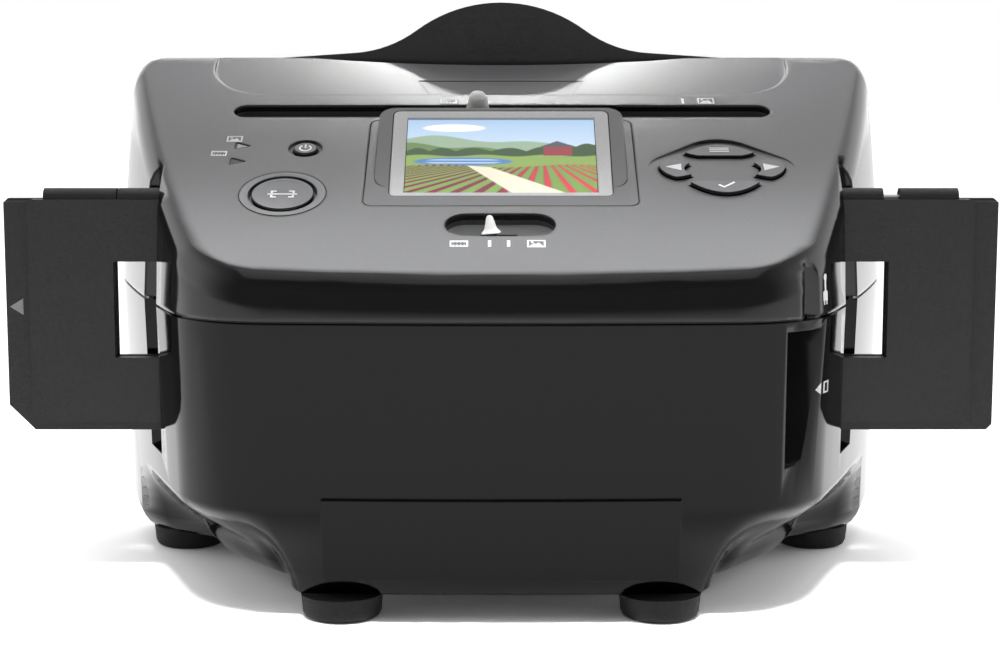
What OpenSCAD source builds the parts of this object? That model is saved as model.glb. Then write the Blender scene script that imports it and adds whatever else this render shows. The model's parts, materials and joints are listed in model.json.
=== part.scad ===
// Desktop film and photo scanner, free standing on four rubber feet.
// Millimetres, +Z up, +X to the right of the person who faces the sloped panel (who sits at -Y).
// The origin is on the table, under the middle of the whole object.

/* [Housing] */
// Depth of the whole scanner, from the skirt at the front to the back
overall_d = 125; // [115:1:140]
// Width between the side walls where they would meet the front face
front_w = 150.6; // [140:0.2:160]
// Width between the side walls where they would meet the back face
back_w = 230.8; // [220:0.2:240]
// Radius of the slight bow of the front face
front_bow_r = 900; // [500:50:2000]
// Radius of the slight bow of the back face
back_bow_r = 2400; // [1500:100:4000]
// Radius of the slight bow of each side wall
side_bow_r = 700; // [500:50:1500]
// Radius of the two front corners in plan
front_corner_r = 30; // [24:1:34]
// Radius of the two back corners in plan
back_corner_r = 19; // [15:1:22]
// Thickness of the side walls of both shells
wall = 2.4; // [2:0.1:3]
// Height of the seam between the two shells
seam_z = 75.4; // [70:0.2:78]
// Height of the dark groove along the seam
seam_gap = 0.7; // [0.4:0.1:1]

/* [Sloped panel] */
// Height of the panel's plane over the front face
panel_front_z = 86; // [84:0.5:88]
// Slope of the panel
panel_slope = 26; // [24:0.5:27]
// Thickness of the panel, square to it
panel_t = 2; // [1.8:0.1:2.2]
// Radius of the rounding between the slope and the flat crest
crest_r = 14; // [10:1:18]
// Where the slope starts to round over into the crest
crest_y = 43; // [40:0.5:44]
// Height of the rounding between the side walls and the panel
edge_h = 8; // [6:0.5:9]
// Width of the rounding between the front face and the panel
front_edge_w = 4.6; // [4:0.2:6]
// Radius of the panel's front corners
panel_corner_r = 12; // [8:1:16]
// Depth of the shallow field behind the upper slot
field_depth = 0.6; // [0.4:0.1:0.8]
// Depth of the dip in the crest in front of the tray's grip
crest_dip = 2.1; // [1:0.1:2.4]
// Half the width of that dip
dip_half = 56; // [50:1:60]

/* [Lower shell] */
// Height of the base plate's underside over the table
base_z = 6; // [5:0.5:8]
// Height at which the undercut of the front corners starts
scoop_z = 29; // [26:0.5:32]
// Depth of the undercut at the front corners
scoop_depth = 14.5; // [10:0.5:16]
// Inset of the wall's rounded lower edge
hem_inset = 6.5; // [5:0.5:8]
// Half the width of the front skirt
skirt_half = 44.3; // [40:0.1:48]
// Height of the skirt's upper edge
skirt_top_z = 31.6; // [30.5:0.1:34]
// Height of the skirt's lower edge
skirt_bottom_z = 11; // [10:0.1:12]
// How far the skirt stands out from the front face
skirt_proud = 0.4; // [0.2:0.1:0.6]
// Thickness of the base plate
base_t = 3; // [2.5:0.1:3.5]

/* [Feet] */
// Radius of a foot
foot_r = 10.4; // [8:0.2:11]
// Distance between the middles of the two front feet
front_feet_x = 80.2; // [74:0.2:84]
// Distance between the middles of the two back feet
back_feet_x = 179; // [172:0.5:182]
// Distance of the front feet from the front of the scanner
front_feet_in = 10.5; // [10.5:0.5:12]
// Distance of the back feet from the back of the scanner
back_feet_in = 37; // [34:0.5:40]

/* [Film holder] */
// Length of the film holder
holder_l = 263; // [250:1:270]
// Height of its back leaf
holder_h = 62; // [60:0.5:62.5]
// Height of its lower edge over the table
holder_z = 40.4; // [40:0.1:41]
// Thickness of one leaf
leaf_t = 3.4; // [3:0.1:3.4]
// Gap between the two leaves
leaf_gap = 0.2; // [0.1:0.05:0.3]
// Where the parting plane of the two leaves lies
holder_y = -14; // [-14.4:0.1:-13.8]
// Width of a film window
window_w = 37; // [34:0.5:38]
// Height of a film window
window_h = 25.6; // [22:0.2:27]
// Distance between two film windows
window_pitch = 55.8; // [54:0.1:56.5]
// Number of film windows
window_count = 4; // [3:1:4]
// Chamfer of the back leaf's lower left corner
holder_chamfer = 6.8; // [4:0.2:8]
// How far the back leaf reaches past the front leaf at each end
leaf_step_x = 7; // [5:0.5:9]
// How far the back leaf reaches past the front leaf at the bottom
leaf_step_z = 2.9; // [2:0.1:4]
// Radius of the hinge knuckles
knuckle_r = 2.7; // [2.5:0.1:2.7]
// Radius of the hinge pin
pin_r = 1; // [0.8:0.1:1.2]
// Gap between the holder and what guides it
holder_gap = 0.4; // [0.3:0.05:0.6]

/* [Photo tray] */
// Width of the photo tray
tray_w = 162; // [158:1:164]
// Thickness of the photo tray
tray_t = 2.6; // [2:0.1:3]
// Where the middle of the photo tray lies
tray_y = 49.6; // [49:0.1:50]
// Height of the tray's lower edge over the table
tray_z = 16; // [15:0.5:20]
// Height of the grip's top over the table
grip_top_z = 154.6; // [153:0.2:156]
// Radius of the grip's round top
grip_r = 41.5; // [40:0.5:43]
// Radius of the hollow at each foot of the grip
grip_foot_r = 34.7; // [32:0.5:36]
// Steepest slope of the grip's edge
grip_angle = 36; // [34:1:38]
// Slope of the tray's shoulders
shoulder_angle = 3.8; // [2:0.2:5]
// Width of the photo that the tray holds
photo_w = 153; // [150:0.5:154]
// Height of the photo that the tray holds
photo_h = 102; // [100:0.5:104]
// Gap between the tray and what guides it
tray_gap = 0.4; // [0.3:0.05:0.6]

/* [Screen] */
// Width of the screen pod's flange
pod_w = 71.4; // [70:0.2:73]
// Length of the flange along the slope
pod_l = 46.4; // [46:0.2:47]
// Distance of the flange's front edge behind the front face
pod_in = 32.1; // [31.8:0.1:32.6]
// Where the raised block rises out of the flange, behind the flange's front edge
pod_start = 9.4; // [9:0.1:10]
// Length of the raised block along its own slope
pod_top_l = 35.8; // [35.4:0.1:36]
// Height of the block's back edge over the flange
pod_rise = 4.6; // [4:0.1:5.4]
// Width of the light frame around the picture
bezel_w = 58.1; // [57:0.1:60]
// Length of the light frame along its own slope
bezel_l = 38.1; // [37.6:0.1:38.4]
// Width of the picture
picture_w = 50.6; // [48:0.1:52]
// Length of the picture along its own slope
picture_l = 33; // [31:0.1:34]

/* [Sliders] */
// Distance of the light slider's slot behind the front face
light_slot_in = 78.5; // [78:0.1:79.5]
// Length of the light slider's slot
light_slot_l = 148.4; // [140:0.2:150]
// Width of the light slider's slot
light_slot_w = 7.2; // [6:0.1:8]
// Where the light lever stands in the film position
light_lever_x = -6.4; // [-8:0.1:-5]
// Travel of the light lever
light_travel = 56.8; // [50:0.1:60]
// Distance of the focus slot behind the front face
focus_slot_in = 23.8; // [23.4:0.1:24.2]
// Length of the focus slot
focus_slot_l = 28.2; // [26:0.2:30]
// Width of the focus slot
focus_slot_w = 11.1; // [10:0.1:12]
// Where the focus lever stands in the film position
focus_lever_x = -2.7; // [-4:0.1:-2]

/* [Buttons] */
// Radius of the scan button
scan_r = 8.1; // [7.6:0.1:8.4]
// Radius of the ring around the scan button
scan_ring_r = 11.3; // [10.8:0.1:12]
// Gap between the scan button and its ring
scan_gap = 0.8; // [0.5:0.1:1]
// Radius of the power button
power_r = 3.1; // [2.8:0.1:3.3]
// Radius of the power button's dish
power_dish_r = 4.6; // [4.5:0.1:5.4]
// Depth of the keypad's dish at its upper edge
pad_depth = 1.1; // [0.8:0.1:1.2]
// How far the keys stand out of the dish
key_rise = 1.2; // [0.8:0.1:1.4]
// Travel of every button
button_travel = 0.5; // [0.3:0.05:0.5]
// Gap around the power button and the keys
button_gap = 0.35; // [0.25:0.05:0.4]

/* [Camera] */
// Outer radius of the sleeve that the focus ring turns on
sleeve_r = 9; // [8:0.5:10]
// Outer radius of the focus ring
focus_ring_r = 13; // [12.5:0.5:14]
// Running clearance of the shafts in their holes
running_gap = 0.05; // [0.02:0.01:0.08]
// Radius of the light carriage's rod
rod_r = 2; // [1.5:0.1:2.5]

/* [Hidden] */

black = [0.09, 0.09, 0.10];
gloss_black = [0.05, 0.05, 0.055];
panel_grey = [0.36, 0.36, 0.37];
light_grey = [0.74, 0.74, 0.75];
board_green = [0.05, 0.28, 0.14];
steel = [0.62, 0.63, 0.65];
eps = 0.01;

// ---- Plan of the housing: arcs that run into each other ----

back_y = overall_d / 2;
front_y = skirt_proud - overall_d / 2;
tan_slope = tan(panel_slope);
pod_front_y = front_y + pod_in;
light_slot_y = front_y + light_slot_in;
focus_slot_y = front_y + focus_slot_in;
crest_top = panel_front_z + tan_slope * (crest_y - front_y) + crest_r * (1 - cos(panel_slope));

// Centre of a circle of radius r through p and q, on the left of the way from p to q
function through(p, q, r) =
    let (d = q - p, l = norm(d)) (p + q) / 2 + [-d.y, d.x] / l * sqrt(r * r - l * l / 4);

// Point at the distances a and b from p and q, on the left of the way from p to q
function meet(p, a, q, b) =
    let (d = q - p, l = norm(d), t = (a * a - b * b + l * l) / (2 * l))
    p + d / l * t + [-d.y, d.x] / l * sqrt(a * a - t * t);

function heading(p, q) = atan2(q.y - p.y, q.x - p.x);

// Centres of the arcs of the right half, from the front to the back: [front, corner, side, corner,
// back]. e holds how far the front, the side and the back lie inside the housing's own plan.
function centres(r1, r2, e) =
    let (f = [0, front_y + front_bow_r], b = [0, back_y - back_bow_r],
         s = through([front_w / 2, front_y], [back_w / 2, back_y], side_bow_r))
    [f, meet(f, front_bow_r - e[0] - r1, s, side_bow_r - e[1] - r1),
     s, meet(s, side_bow_r - e[1] - r2, b, back_bow_r - e[2] - r2), b];

// Spots of the front arc, given by their distance from the middle
front_spots = [0, 15, 30, skirt_half, skirt_half + 0.4];
corner_steps = 8;
side_steps = 8;
back_steps = 3;

// The right half of a plan as [centre, radius, angle] for every point
function half_plan(r1, r2, e) =
    let (c = centres(r1, r2, e), rf = front_bow_r - e[0], rs = side_bow_r - e[1],
         rb = back_bow_r - e[2], a1 = heading(c[0], c[1]), a2 = heading(c[2], c[1]),
         a3 = heading(c[2], c[3]), a4 = heading(c[4], c[3]))
    concat([for (x = front_spots) [c[0], rf, -90 + asin(x / rf)]],
           [for (i = [0:corner_steps - 1]) [c[1], r1, a1 + (a2 - a1) * i / corner_steps]],
           [for (i = [0:side_steps - 1]) [c[2], rs, a2 + (a3 - a2) * i / side_steps]],
           [for (i = [0:corner_steps - 1]) [c[3], r2, a3 + (a4 - a3) * i / corner_steps]],
           [for (i = [0:back_steps]) [c[4], rb, a4 + (90 - a4) * i / back_steps]]);

function spot(s, inset) = s[0] + (s[1] - inset) * [cos(s[2]), sin(s[2])];

// A closed ring of 3D points from the points of its right half
function ring(half) =
    concat(half, [for (i = [len(half) - 2:-1:1]) [-half[i].x, half[i].y, half[i].z]]);

// ---- Lofts through rings ----

function cap(first, n, up) =
    let (m = n / 2, t = concat([[0, 1, n - 1]],
         [for (i = [1:m - 2]) each [[i, i + 1, n - i - 1], [i, n - i - 1, n - i]]],
         [[m - 1, m, m + 1]]))
    [for (f = t) up ? [first + f[0], first + f[2], first + f[1]]
                    : [first + f[0], first + f[1], first + f[2]]];

// A solid through rings of equally many points. A looped one is a tube with no ends.
module loft(rings, looped = false) {
    n = len(rings[0]);
    k = len(rings);
    sides = [for (j = [0:looped ? k - 1 : k - 2], i = [0:n - 1])
             let (a = j * n, b = ((j + 1) % k) * n, i2 = (i + 1) % n)
             each [[a + i, b + i, b + i2], [a + i, b + i2, a + i2]]];
    ends = looped ? [] : concat(cap(0, n, false), cap((k - 1) * n, n, true));
    polyhedron([for (r = rings) each r], concat(sides, ends), convexity = 8);
}

// ---- Upper shell ----

upper_draft = 2.5;
upper_bulge = 0.00068;
round_steps = 5;
side_edge_w = 8.6;
back_edge_w = 9.5;

// Height of the panel's outer surface
function top_z(y) =
    y < crest_y ? panel_front_z + tan_slope * (y - front_y)
    : y > crest_y + crest_r * sin(panel_slope) ? crest_top
    : crest_top - crest_r + sqrt(pow(crest_r, 2)
      - pow(crest_y + crest_r * sin(panel_slope) - y, 2));

// How far the upper wall leans in at height z
function upper_lean(z) = tan(upper_draft) * (z - seam_z) + upper_bulge * pow(z - seam_z, 2);

wall_plan = half_plan(front_corner_r, back_corner_r, [0, 0, 0]);
panel_plan = half_plan(panel_corner_r, back_corner_r - 8, [front_edge_w, side_edge_w, back_edge_w]);

// Ring on the upper wall, a share f of the way from the seam to the rounding
function upper_wall_ring(f, inset, drop) =
    ring([for (s = wall_plan)
          let (top = top_z(spot(s, 0).y) - edge_h - drop, z = seam_z + seam_gap / 2 + f * (top - seam_z),
               p = spot(s, inset + upper_lean(z)))
          [p.x, p.y, z]]);

// Ring on the rounding, at the angle a from the wall
function upper_edge_ring(a, inset, drop) =
    ring([for (i = [0:len(wall_plan) - 1])
          let (s = wall_plan[i], z = top_z(spot(s, 0).y) - edge_h,
               p = spot(s, inset + upper_lean(z)), q = spot(panel_plan[i], 0),
               q2 = norm(q) > 0 ? q : p, m = p + (q2 - p) * (1 - cos(a)))
          [m.x, m.y, top_z(m.y) - drop - (edge_h - drop * 0.5) * (1 - sin(a))]]);

panel_drop = panel_t / cos(panel_slope);

module upper_body() {
    inner = concat([for (i = [round_steps:-1:0]) upper_edge_ring(90 * i / round_steps, wall,
                                                                 panel_drop)],
                   [for (f = [0.66, 0.33, 0]) upper_wall_ring(f, wall, panel_drop / 2)]);
    loft(concat(inner, upper_outside_rings));
}

upper_outside_rings = concat([for (f = [0, 0.33, 0.66]) upper_wall_ring(f, 0, 0)],
                             [for (i = [0:round_steps]) upper_edge_ring(90 * i / round_steps, 0, 0)]);

module upper_outside() {
    loft(upper_outside_rings);
}

// Puts its children on the panel at x and y, with +Z out of it and +Y up the slope
module on_panel(x, y) {
    translate([x, y, top_z(y)]) rotate([panel_slope, 0, 0]) children();
}

module slot_shape(l, w) {
    square([l - w, w], center = true);
    for (s = [-1, 1]) translate([s * (l - w) / 2, 0]) circle(d = w, $fn = 48);
}

module rounded_rect(w, h, r) {
    square([w - 2 * r, h], center = true);
    square([w, h - 2 * r], center = true);
    for (i = [-1, 1], j = [-1, 1])
        translate([i * (w / 2 - r), j * (h / 2 - r)]) circle(r = r, $fn = 48);
}

// ---- Places on the panel ----

scan_at = [-56.6, front_y + 37.7];
power_at = [-52.5, front_y + 59.45];
pad_at = [58.4, front_y + 49.5];
light_windows_at = [[-69.6, front_y + 60.8], [-70.1, front_y + 53.1]];
light_slot_x = 0.3;
focus_slot_x = -0.2;
pod_mid_y = pod_front_y + pod_l / 2 * cos(panel_slope);
ring_depth = 0.8;
dish_depth = 1;
flange_t = 0.5;
flange_w = 0.9;
flange_rest = 0.1;
pod_recess = 1.2;
field_front_y = front_y + 87.5;
field_half_w = 82;
field_corner_r = 17;
field_l = 50;
badge_l = 9.5;
badge_wide = 46.8;
badge_narrow = 39.5;
badge_depth = 0.2;

// n points of an even bow from p to q, which swells out to the right of the way by b
function bow(p, q, b, n) =
    let (d = q - p, out = [d.y, -d.x] / norm(d))
    [for (i = [0:n - 1]) let (t = i / n) p + d * t + out * 4 * b * t * (1 - t)];

function mirrored(points) = [for (i = [len(points) - 1:-1:0]) [-points[i].x, points[i].y]];

pad_half_w = 19.4;
pad_top = 16.1;
pad_tilt = atan(pad_depth / pad_top);

// Outline of the keypad's dish. It lies open to the front, where its floor runs out
module pad_outline() {
    side = concat(bow([pad_half_w, -0.5], [15.5, 7], 1.2, 5), [[15.5, 7]]);
    polygon(concat(side, bow([6.5, 14.1], [-6.5, 14.1], pad_top - 14.1, 8), [[-6.5, 14.1]],
                   mirrored(side)));
}

mode_points = concat(bow([9.9, 8.2], [-9.9, 8.2], 4.9, 14), bow([-9.9, 8.2], [-6, 6.1], 0.2, 2),
                     bow([-6, 6.1], [6, 6.1], 0, 1), bow([6, 6.1], [9.9, 8.2], 0.2, 2));
enter_points = concat(bow([-9.7, -8.7], [9.7, -8.7], 5.9, 14), bow([9.7, -8.7], [6, -7.7], 0.1, 2),
                      bow([6, -7.7], [-6, -7.7], 0, 1), bow([-6, -7.7], [-9.7, -8.7], 0.1, 2));
right_points = concat(bow([7.8, -4.6], [12.6, -6.4], 0.3, 3), bow([12.6, -6.4], [17, -0.4], 0.9, 5),
                      bow([17, -0.4], [12.3, 4.1], 1.3, 6), bow([12.3, 4.1], [7.9, 1.6], 0.3, 3),
                      bow([7.9, 1.6], [7.8, -4.6], -1.9, 6));

// The four keys of the keypad, each as an outline g smaller than its hole
module key_outline(name, g) {
    offset(delta = -g) {
        if (name == "mode") polygon(mode_points);
        if (name == "enter") polygon(enter_points);
        if (name == "left") polygon(mirrored(right_points));
        if (name == "right") polygon(right_points);
    }
}

// How far a key's top stands over the panel: the mode key stands in the dish, the rest in front of it
function key_top(name) = name == "mode" ? key_rise - 0.75 : name == "enter" ? key_rise : key_rise - 0.15;

KEYS = ["mode", "enter", "left", "right"];

// ---- Openings in the side walls for the film holder ----

holder_front_y = holder_y - leaf_gap / 2 - leaf_t;
holder_back_y = holder_y + leaf_gap / 2 + leaf_t;
leaf_top = holder_z + holder_h;
knuckle_z = leaf_top + 0.1;
pocket_front_y = holder_y - 11.5;
pocket_back_y = holder_y + 5.4;
pocket_bottom_z = holder_z - 4.9;
pocket_top_z = leaf_top + 8.4;
slot_bottom_z = holder_z - 0.8;

// Distance of the side walls' chord from the middle
function side_x(y) = (front_w + (back_w - front_w) * (y - front_y) / (back_y - front_y)) / 2;

pocket_x = side_x(holder_y) - 1.2;

// Passage for the film holder right through the housing
module holder_passage() {
    depth = holder_back_y - holder_front_y + 2 * holder_gap;
    translate([-back_w / 2, holder_front_y - holder_gap, slot_bottom_z])
        cube([back_w, depth, leaf_top + holder_gap - slot_bottom_z]);
    translate([-back_w / 2, holder_y, knuckle_z]) rotate([0, 90, 0])
        cylinder(r = knuckle_r + holder_gap, h = back_w, $fn = 64);
}

// Flat-floored pocket around each end of the passage
module side_pockets() {
    for (s = [-1, 1])
        translate([s > 0 ? pocket_x : -pocket_x - 30, pocket_front_y, pocket_bottom_z])
            cube([30, pocket_back_y - pocket_front_y, pocket_top_z - pocket_bottom_z]);
}

// Walls of the pockets, moulded on the inside of the side walls
module pocket_walls() {
    for (s = [-1, 1])
        translate([s > 0 ? pocket_x - wall : -pocket_x - 8, pocket_front_y - 1, pocket_bottom_z - wall])
            cube([8 + wall, pocket_back_y - pocket_front_y + 1 + wall,
                  pocket_top_z - pocket_bottom_z + 2 * wall]);
}

// ---- Port recess on the right front corner ----

// Floor of the recess that the memory card goes into, and its lower and upper edge
port_x = front_w / 2 - 4.8;
port_low_z = 38;
port_top_z = seam_z - 2.8;
// Its back wall leans: how far back it lies at its lower and at its upper edge
port_back_low_y = front_y + 9.8;
port_back_top_y = front_y + 14.4;
port_corner = 3;
usb_x = front_w / 2 - 0.3;
usb_low_z = seam_z - 0.4;
usb_top_z = usb_low_z + 13.2;
usb_back_y = front_y + 13;
port_wall = 1.6;
port_reach = 12;

// Prism along X behind a leaning back wall, g larger on every side
module port_prism(g) {
    translate([port_x - g, 0, 0]) rotate([90, 0, 90]) linear_extrude(port_reach + g)
        polygon([[front_y - g, port_low_z - g], [port_back_low_y + g - port_corner, port_low_z - g],
                 [port_back_low_y + g - port_corner * 0.3, port_low_z - g + port_corner * 0.3],
                 [port_back_low_y + g + 0.4, port_low_z - g + port_corner],
                 [port_back_top_y + g, port_top_z + g], [front_y - g, port_top_z + g]]);
}

module usb_prism(g) {
    translate([usb_x - g, front_y, usb_low_z - g])
        cube([port_reach, usb_back_y + g - front_y, usb_top_z - usb_low_z + 2 * g]);
}

// Places of the two sockets: middle of the mouth, on the floor of the recess
card_at = [port_x, front_y + 9.2, port_low_z + 19.5];
card_slot = [2.5, 25];
usb_at = [usb_x, front_y + 11.4, usb_low_z + 7];
usb_slot = [2.8, 7.2];

// Bodies of the two sockets: depth behind the wall, thickness and height
card_body = [27, card_slot[0] + 1, card_slot[1] + 1.2];
usb_body = [9, usb_slot[0] + 0.8, usb_slot[1] + 0.8];
seat_gap = 0.05;

// Block of a socket's body, g larger on every side, behind the floor of its recess
module socket_block(at, body, g) {
    translate([at.x - port_wall - seat_gap - body.x - g, at.y - body.y / 2 - g, at.z - body.z / 2 - g])
        cube([body.x + 2 * g, body.y + 2 * g, body.z + 2 * g]);
}

module port_recess() {
    port_prism(0);
    usb_prism(0);
    socket_block(card_at, card_body, seat_gap);
    socket_block(usb_at, usb_body, seat_gap);
    translate([card_at.x - 5, card_at.y - card_slot[0] / 2, card_at.z - card_slot[1] / 2])
        cube([10, card_slot[0], card_slot[1]]);
    translate([usb_at.x - 5, usb_at.y - usb_slot[0] / 2, usb_at.z - usb_slot[1] / 2])
        cube([10, usb_slot[0], usb_slot[1]]);
}

tray_slot_w = tray_w + 2 * tray_gap;

module upper_shell() {
    color(panel_grey) difference() {
        union() {
            upper_body();
            intersection() {
                upper_outside();
                union() {
                    pocket_walls();
                    usb_prism(port_wall);
                }
            }
        }
        holder_passage();
        side_pockets();
        port_recess();
        // Slot in the crest for the photo tray
        translate([-tray_slot_w / 2, tray_y - tray_t / 2 - tray_gap, crest_top - 12])
            cube([tray_slot_w, tray_t + 2 * tray_gap, 20]);
        // Dip in the crest in front of the grip
        translate([0, crest_y - 8, crest_top - crest_dip + dip_r]) rotate([-90, 0, 0])
            cylinder(r = dip_r, h = 40, $fn = 360);
        // Shallow field behind the upper slot, with a bare badge place in it
        on_panel(0, field_front_y) {
            translate([0, 0, -field_depth]) linear_extrude(6)
                translate([0, field_l / 2]) rounded_rect(2 * field_half_w, field_l, field_corner_r);
            translate([0, 0, -field_depth - badge_depth]) linear_extrude(2)
                polygon([[-badge_narrow / 2, 0.6], [badge_narrow / 2, 0.6],
                         [badge_wide / 2, badge_l], [-badge_wide / 2, badge_l]]);
        }
        // Slots of the two sliders
        on_panel(light_slot_x, light_slot_y) translate([0, 0, -5]) linear_extrude(10)
            slot_shape(light_slot_l, light_slot_w);
        on_panel(focus_slot_x, focus_slot_y) translate([0, 0, -5]) linear_extrude(10)
            slot_shape(focus_slot_l, focus_slot_w);
        // Seat and hole of the screen pod
        on_panel(0, pod_mid_y) {
            translate([0, 0, -pod_recess]) linear_extrude(5) rounded_rect(pod_w, pod_l, 2.5);
            translate([0, 0, -5]) linear_extrude(10) rounded_rect(pod_w - 6, pod_l - 6, 1.5);
        }
        // Scan button with its ring, power button with its dish
        on_panel(scan_at.x, scan_at.y) {
            translate([0, 0, -ring_depth]) cylinder(r = scan_ring_r + 0.1, h = 5, $fn = 96);
            translate([0, 0, -5]) cylinder(r = scan_r + scan_gap, h = 10, $fn = 96);
        }
        on_panel(power_at.x, power_at.y) {
            translate([0, 0, -dish_depth]) cylinder(r = power_dish_r, h = 5, $fn = 64);
            translate([0, 0, -5]) cylinder(r = power_r + button_gap, h = 10, $fn = 64);
        }
        for (p = light_windows_at) on_panel(p.x, p.y)
            translate([0, 0, -5]) linear_extrude(10) status_shape(0);
        // Keypad dish with the holes of its four keys
        on_panel(pad_at.x, pad_at.y) {
            intersection() {
                translate([0, 0, -5]) linear_extrude(10) pad_outline();
                rotate([-pad_tilt, 0, 0]) translate([-30, 0, 0]) cube([60, 30, 10]);
            }
            for (k = KEYS) translate([0, 0, -5]) linear_extrude(10) key_outline(k, 0);
        }
    }
}

dip_r = (pow(dip_half, 2) + pow(crest_dip, 2)) / (2 * crest_dip);

// Small light window that points to the right
module status_shape(g) {
    offset(delta = -g) polygon([[-1.9, 1.5], [-1.6, 1.9], [-1.1, 1.8], [2.1, 0.2], [2.3, -0.1],
                                [2.1, -0.4], [-1.6, -2], [-2, -1.6]]);
}

// ---- Lower shell ----

lower_draft = 1.6;
rim_w = 1.1;
seat_w = 2.6;
scoop_back_y = front_y + 78.1;
scoop_full_y = front_y + 57.1;
scoop_foot_z = 12;
hem_start_z = 13;

function smooth(t) = let (u = min(max(t, 0), 1)) u * u * (3 - 2 * u);

// Depth of the undercut at a point of the plan: full at the corners, less behind and in front
function scoop_at(s) =
    let (p = spot(s, 0))
    scoop_depth * smooth((scoop_back_y - p.y) / (scoop_back_y - scoop_full_y))
    * (0.28 + 0.72 * smooth((s[2] + 88) / 26));

// Inset of the hem at a point of the plan: next to none along the front
function hem_at(s) = hem_inset * (0.1 + 0.9 * smooth((s[2] + 88) / 40));

// Inset of the lower wall at height z
function lower_inset(s, z) =
    let (x = spot(s, 0).x, skirt = x < skirt_half + 0.1 && s[2] < -60 && z < skirt_top_z - 0.1,
         t = min(max((hem_start_z - z) / (hem_start_z - base_z), 0), 1))
    skirt && z > skirt_bottom_z ? -skirt_proud
    : tan(lower_draft) * (seam_z - z)
      + (z < scoop_z ? scoop_at(s) * smooth((scoop_z - z) / (scoop_z - scoop_foot_z)) : 0)
      + hem_at(s) * (1 - sqrt(1 - t * t));

function lower_ring(z, inset) =
    ring([for (s = wall_plan) let (p = spot(s, inset + lower_inset(s, z))) [p.x, p.y, z]]);

// Ring inside the skirt, which is left out of the inner side
function inner_inset(s, z) =
    tan(lower_draft) * (seam_z - z)
    + (z < scoop_z ? scoop_at(s) * smooth((scoop_z - z) / (scoop_z - scoop_foot_z)) : 0)
    + hem_at(s) * (1 - sqrt(1 - pow(min(max((hem_start_z - z) / (hem_start_z - base_z), 0), 1), 2)));

function inner_ring(z, inset, at) =
    ring([for (s = wall_plan) let (p = spot(s, inset + inner_inset(s, at))) [p.x, p.y, z]]);

rim_z = seam_z - seam_gap / 2;
outer_z = [base_z, 6.8, 8, 9.8, skirt_bottom_z - 0.1, skirt_bottom_z + 0.1, 13, 15.5, 18, 21, 24, 27,
           scoop_z, skirt_top_z - 0.2, skirt_top_z, 52, rim_z];
outer = [for (z = outer_z) lower_ring(z, 0)];

module lower_outside() {
    loft(outer);
}

module lower_body() {
    rim = [inner_ring(rim_z, rim_w, rim_z), inner_ring(seam_z + seam_gap / 2, rim_w, rim_z),
           inner_ring(seam_z + seam_gap / 2, wall, rim_z)];
    inner = [for (z = [52, scoop_z, 25, 21, 17, 13]) inner_ring(z, wall, z)];
    seat = [inner_ring(base_z + base_t, wall + seat_w, base_z),
            inner_ring(base_z + base_t, wall, base_z), inner_ring(base_z, wall, base_z)];
    loft(concat(outer, rim, inner, seat), looped = true);
}

module lower_shell() {
    color(gloss_black) difference() {
        union() {
            lower_body();
            intersection() {
                lower_outside();
                union() {
                    pocket_walls();
                    port_prism(port_wall);
                }
            }
        }
        holder_passage();
        side_pockets();
        port_recess();
    }
}

// ---- Base plate, feet and screws ----

boss_r = 3.4;
boss_bore_r = 1.2;
board_z = base_z + base_t + 5;
board_w = 76;
board_front_y = holder_y + 10;
board_back_y = tray_y - 8.6;
board_holes = [for (i = [-1, 1], y = [board_front_y + 4, board_back_y - 4]) [i * (board_w / 2 - 4), y]];
screws_at = [[-30, front_y + 26.1], [30, front_y + 26.1], [-68, 20], [68, 20],
             [-56, back_y - 22.5], [56, back_y - 22.5]];
feet_at = [[-front_feet_x / 2, front_feet_in - overall_d / 2],
           [front_feet_x / 2, front_feet_in - overall_d / 2],
           [-back_feet_x / 2, overall_d / 2 - back_feet_in],
           [back_feet_x / 2, overall_d / 2 - back_feet_in]];
foot_pocket = 1;

module base_plate() {
    color(black) difference() {
        union() {
            loft([inner_ring(base_z + 0.2, wall + 0.2, base_z),
                  inner_ring(base_z + base_t, wall + 0.2, base_z)]);
            for (p = board_holes) translate([p.x, p.y, base_z + base_t - eps])
                cylinder(r = boss_r, h = board_z - base_z - base_t + eps, $fn = 32);
        }
        for (p = board_holes) translate([p.x, p.y, base_z + 1])
            cylinder(r = boss_bore_r, h = 20, $fn = 32);
        for (p = screws_at) translate([p.x, p.y, 0]) {
            cylinder(r = 1.6, h = 20, $fn = 32);
            cylinder(r = 3.2, h = base_z + 1.4, $fn = 32);
        }
    }
}

// Rubber foot: a low cone with a rounded sole and a flat bottom
module feet() {
    color([0.03, 0.03, 0.03]) for (p = feet_at) translate([p.x, p.y, 0])
        rotate_extrude($fn = 72) polygon([[0, 0], [foot_r - 1.8, 0], [foot_r - 0.9, 0.5],
                                          [foot_r - 0.4, 1.6], [foot_r, base_z], [0, base_z]]);
}

module base_screws() {
    color(steel) for (p = screws_at) translate([p.x, p.y, base_z + 0.4]) {
        cylinder(r = 3, h = 1, $fn = 32);
        cylinder(r = 1.5, h = 8, $fn = 32);
    }
}

// ---- Screen ----

pod_angle = asin(pod_rise / pod_top_l);
pod_top_w = 66;
pod_top_r = 4.5;
lcd_t = 2.2;
bezel_t = 1;
// Middle of the light frame and of the picture, behind the block's start and along its slope
bezel_mid = 15.2;
picture_mid = 14.5;

// Frame of the block's sloped top: its origin is the middle of the line where it leaves the flange
module on_pod() {
    on_panel(0, pod_front_y) translate([0, pod_start, 0]) rotate([pod_angle, 0, 0]) children();
}

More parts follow.
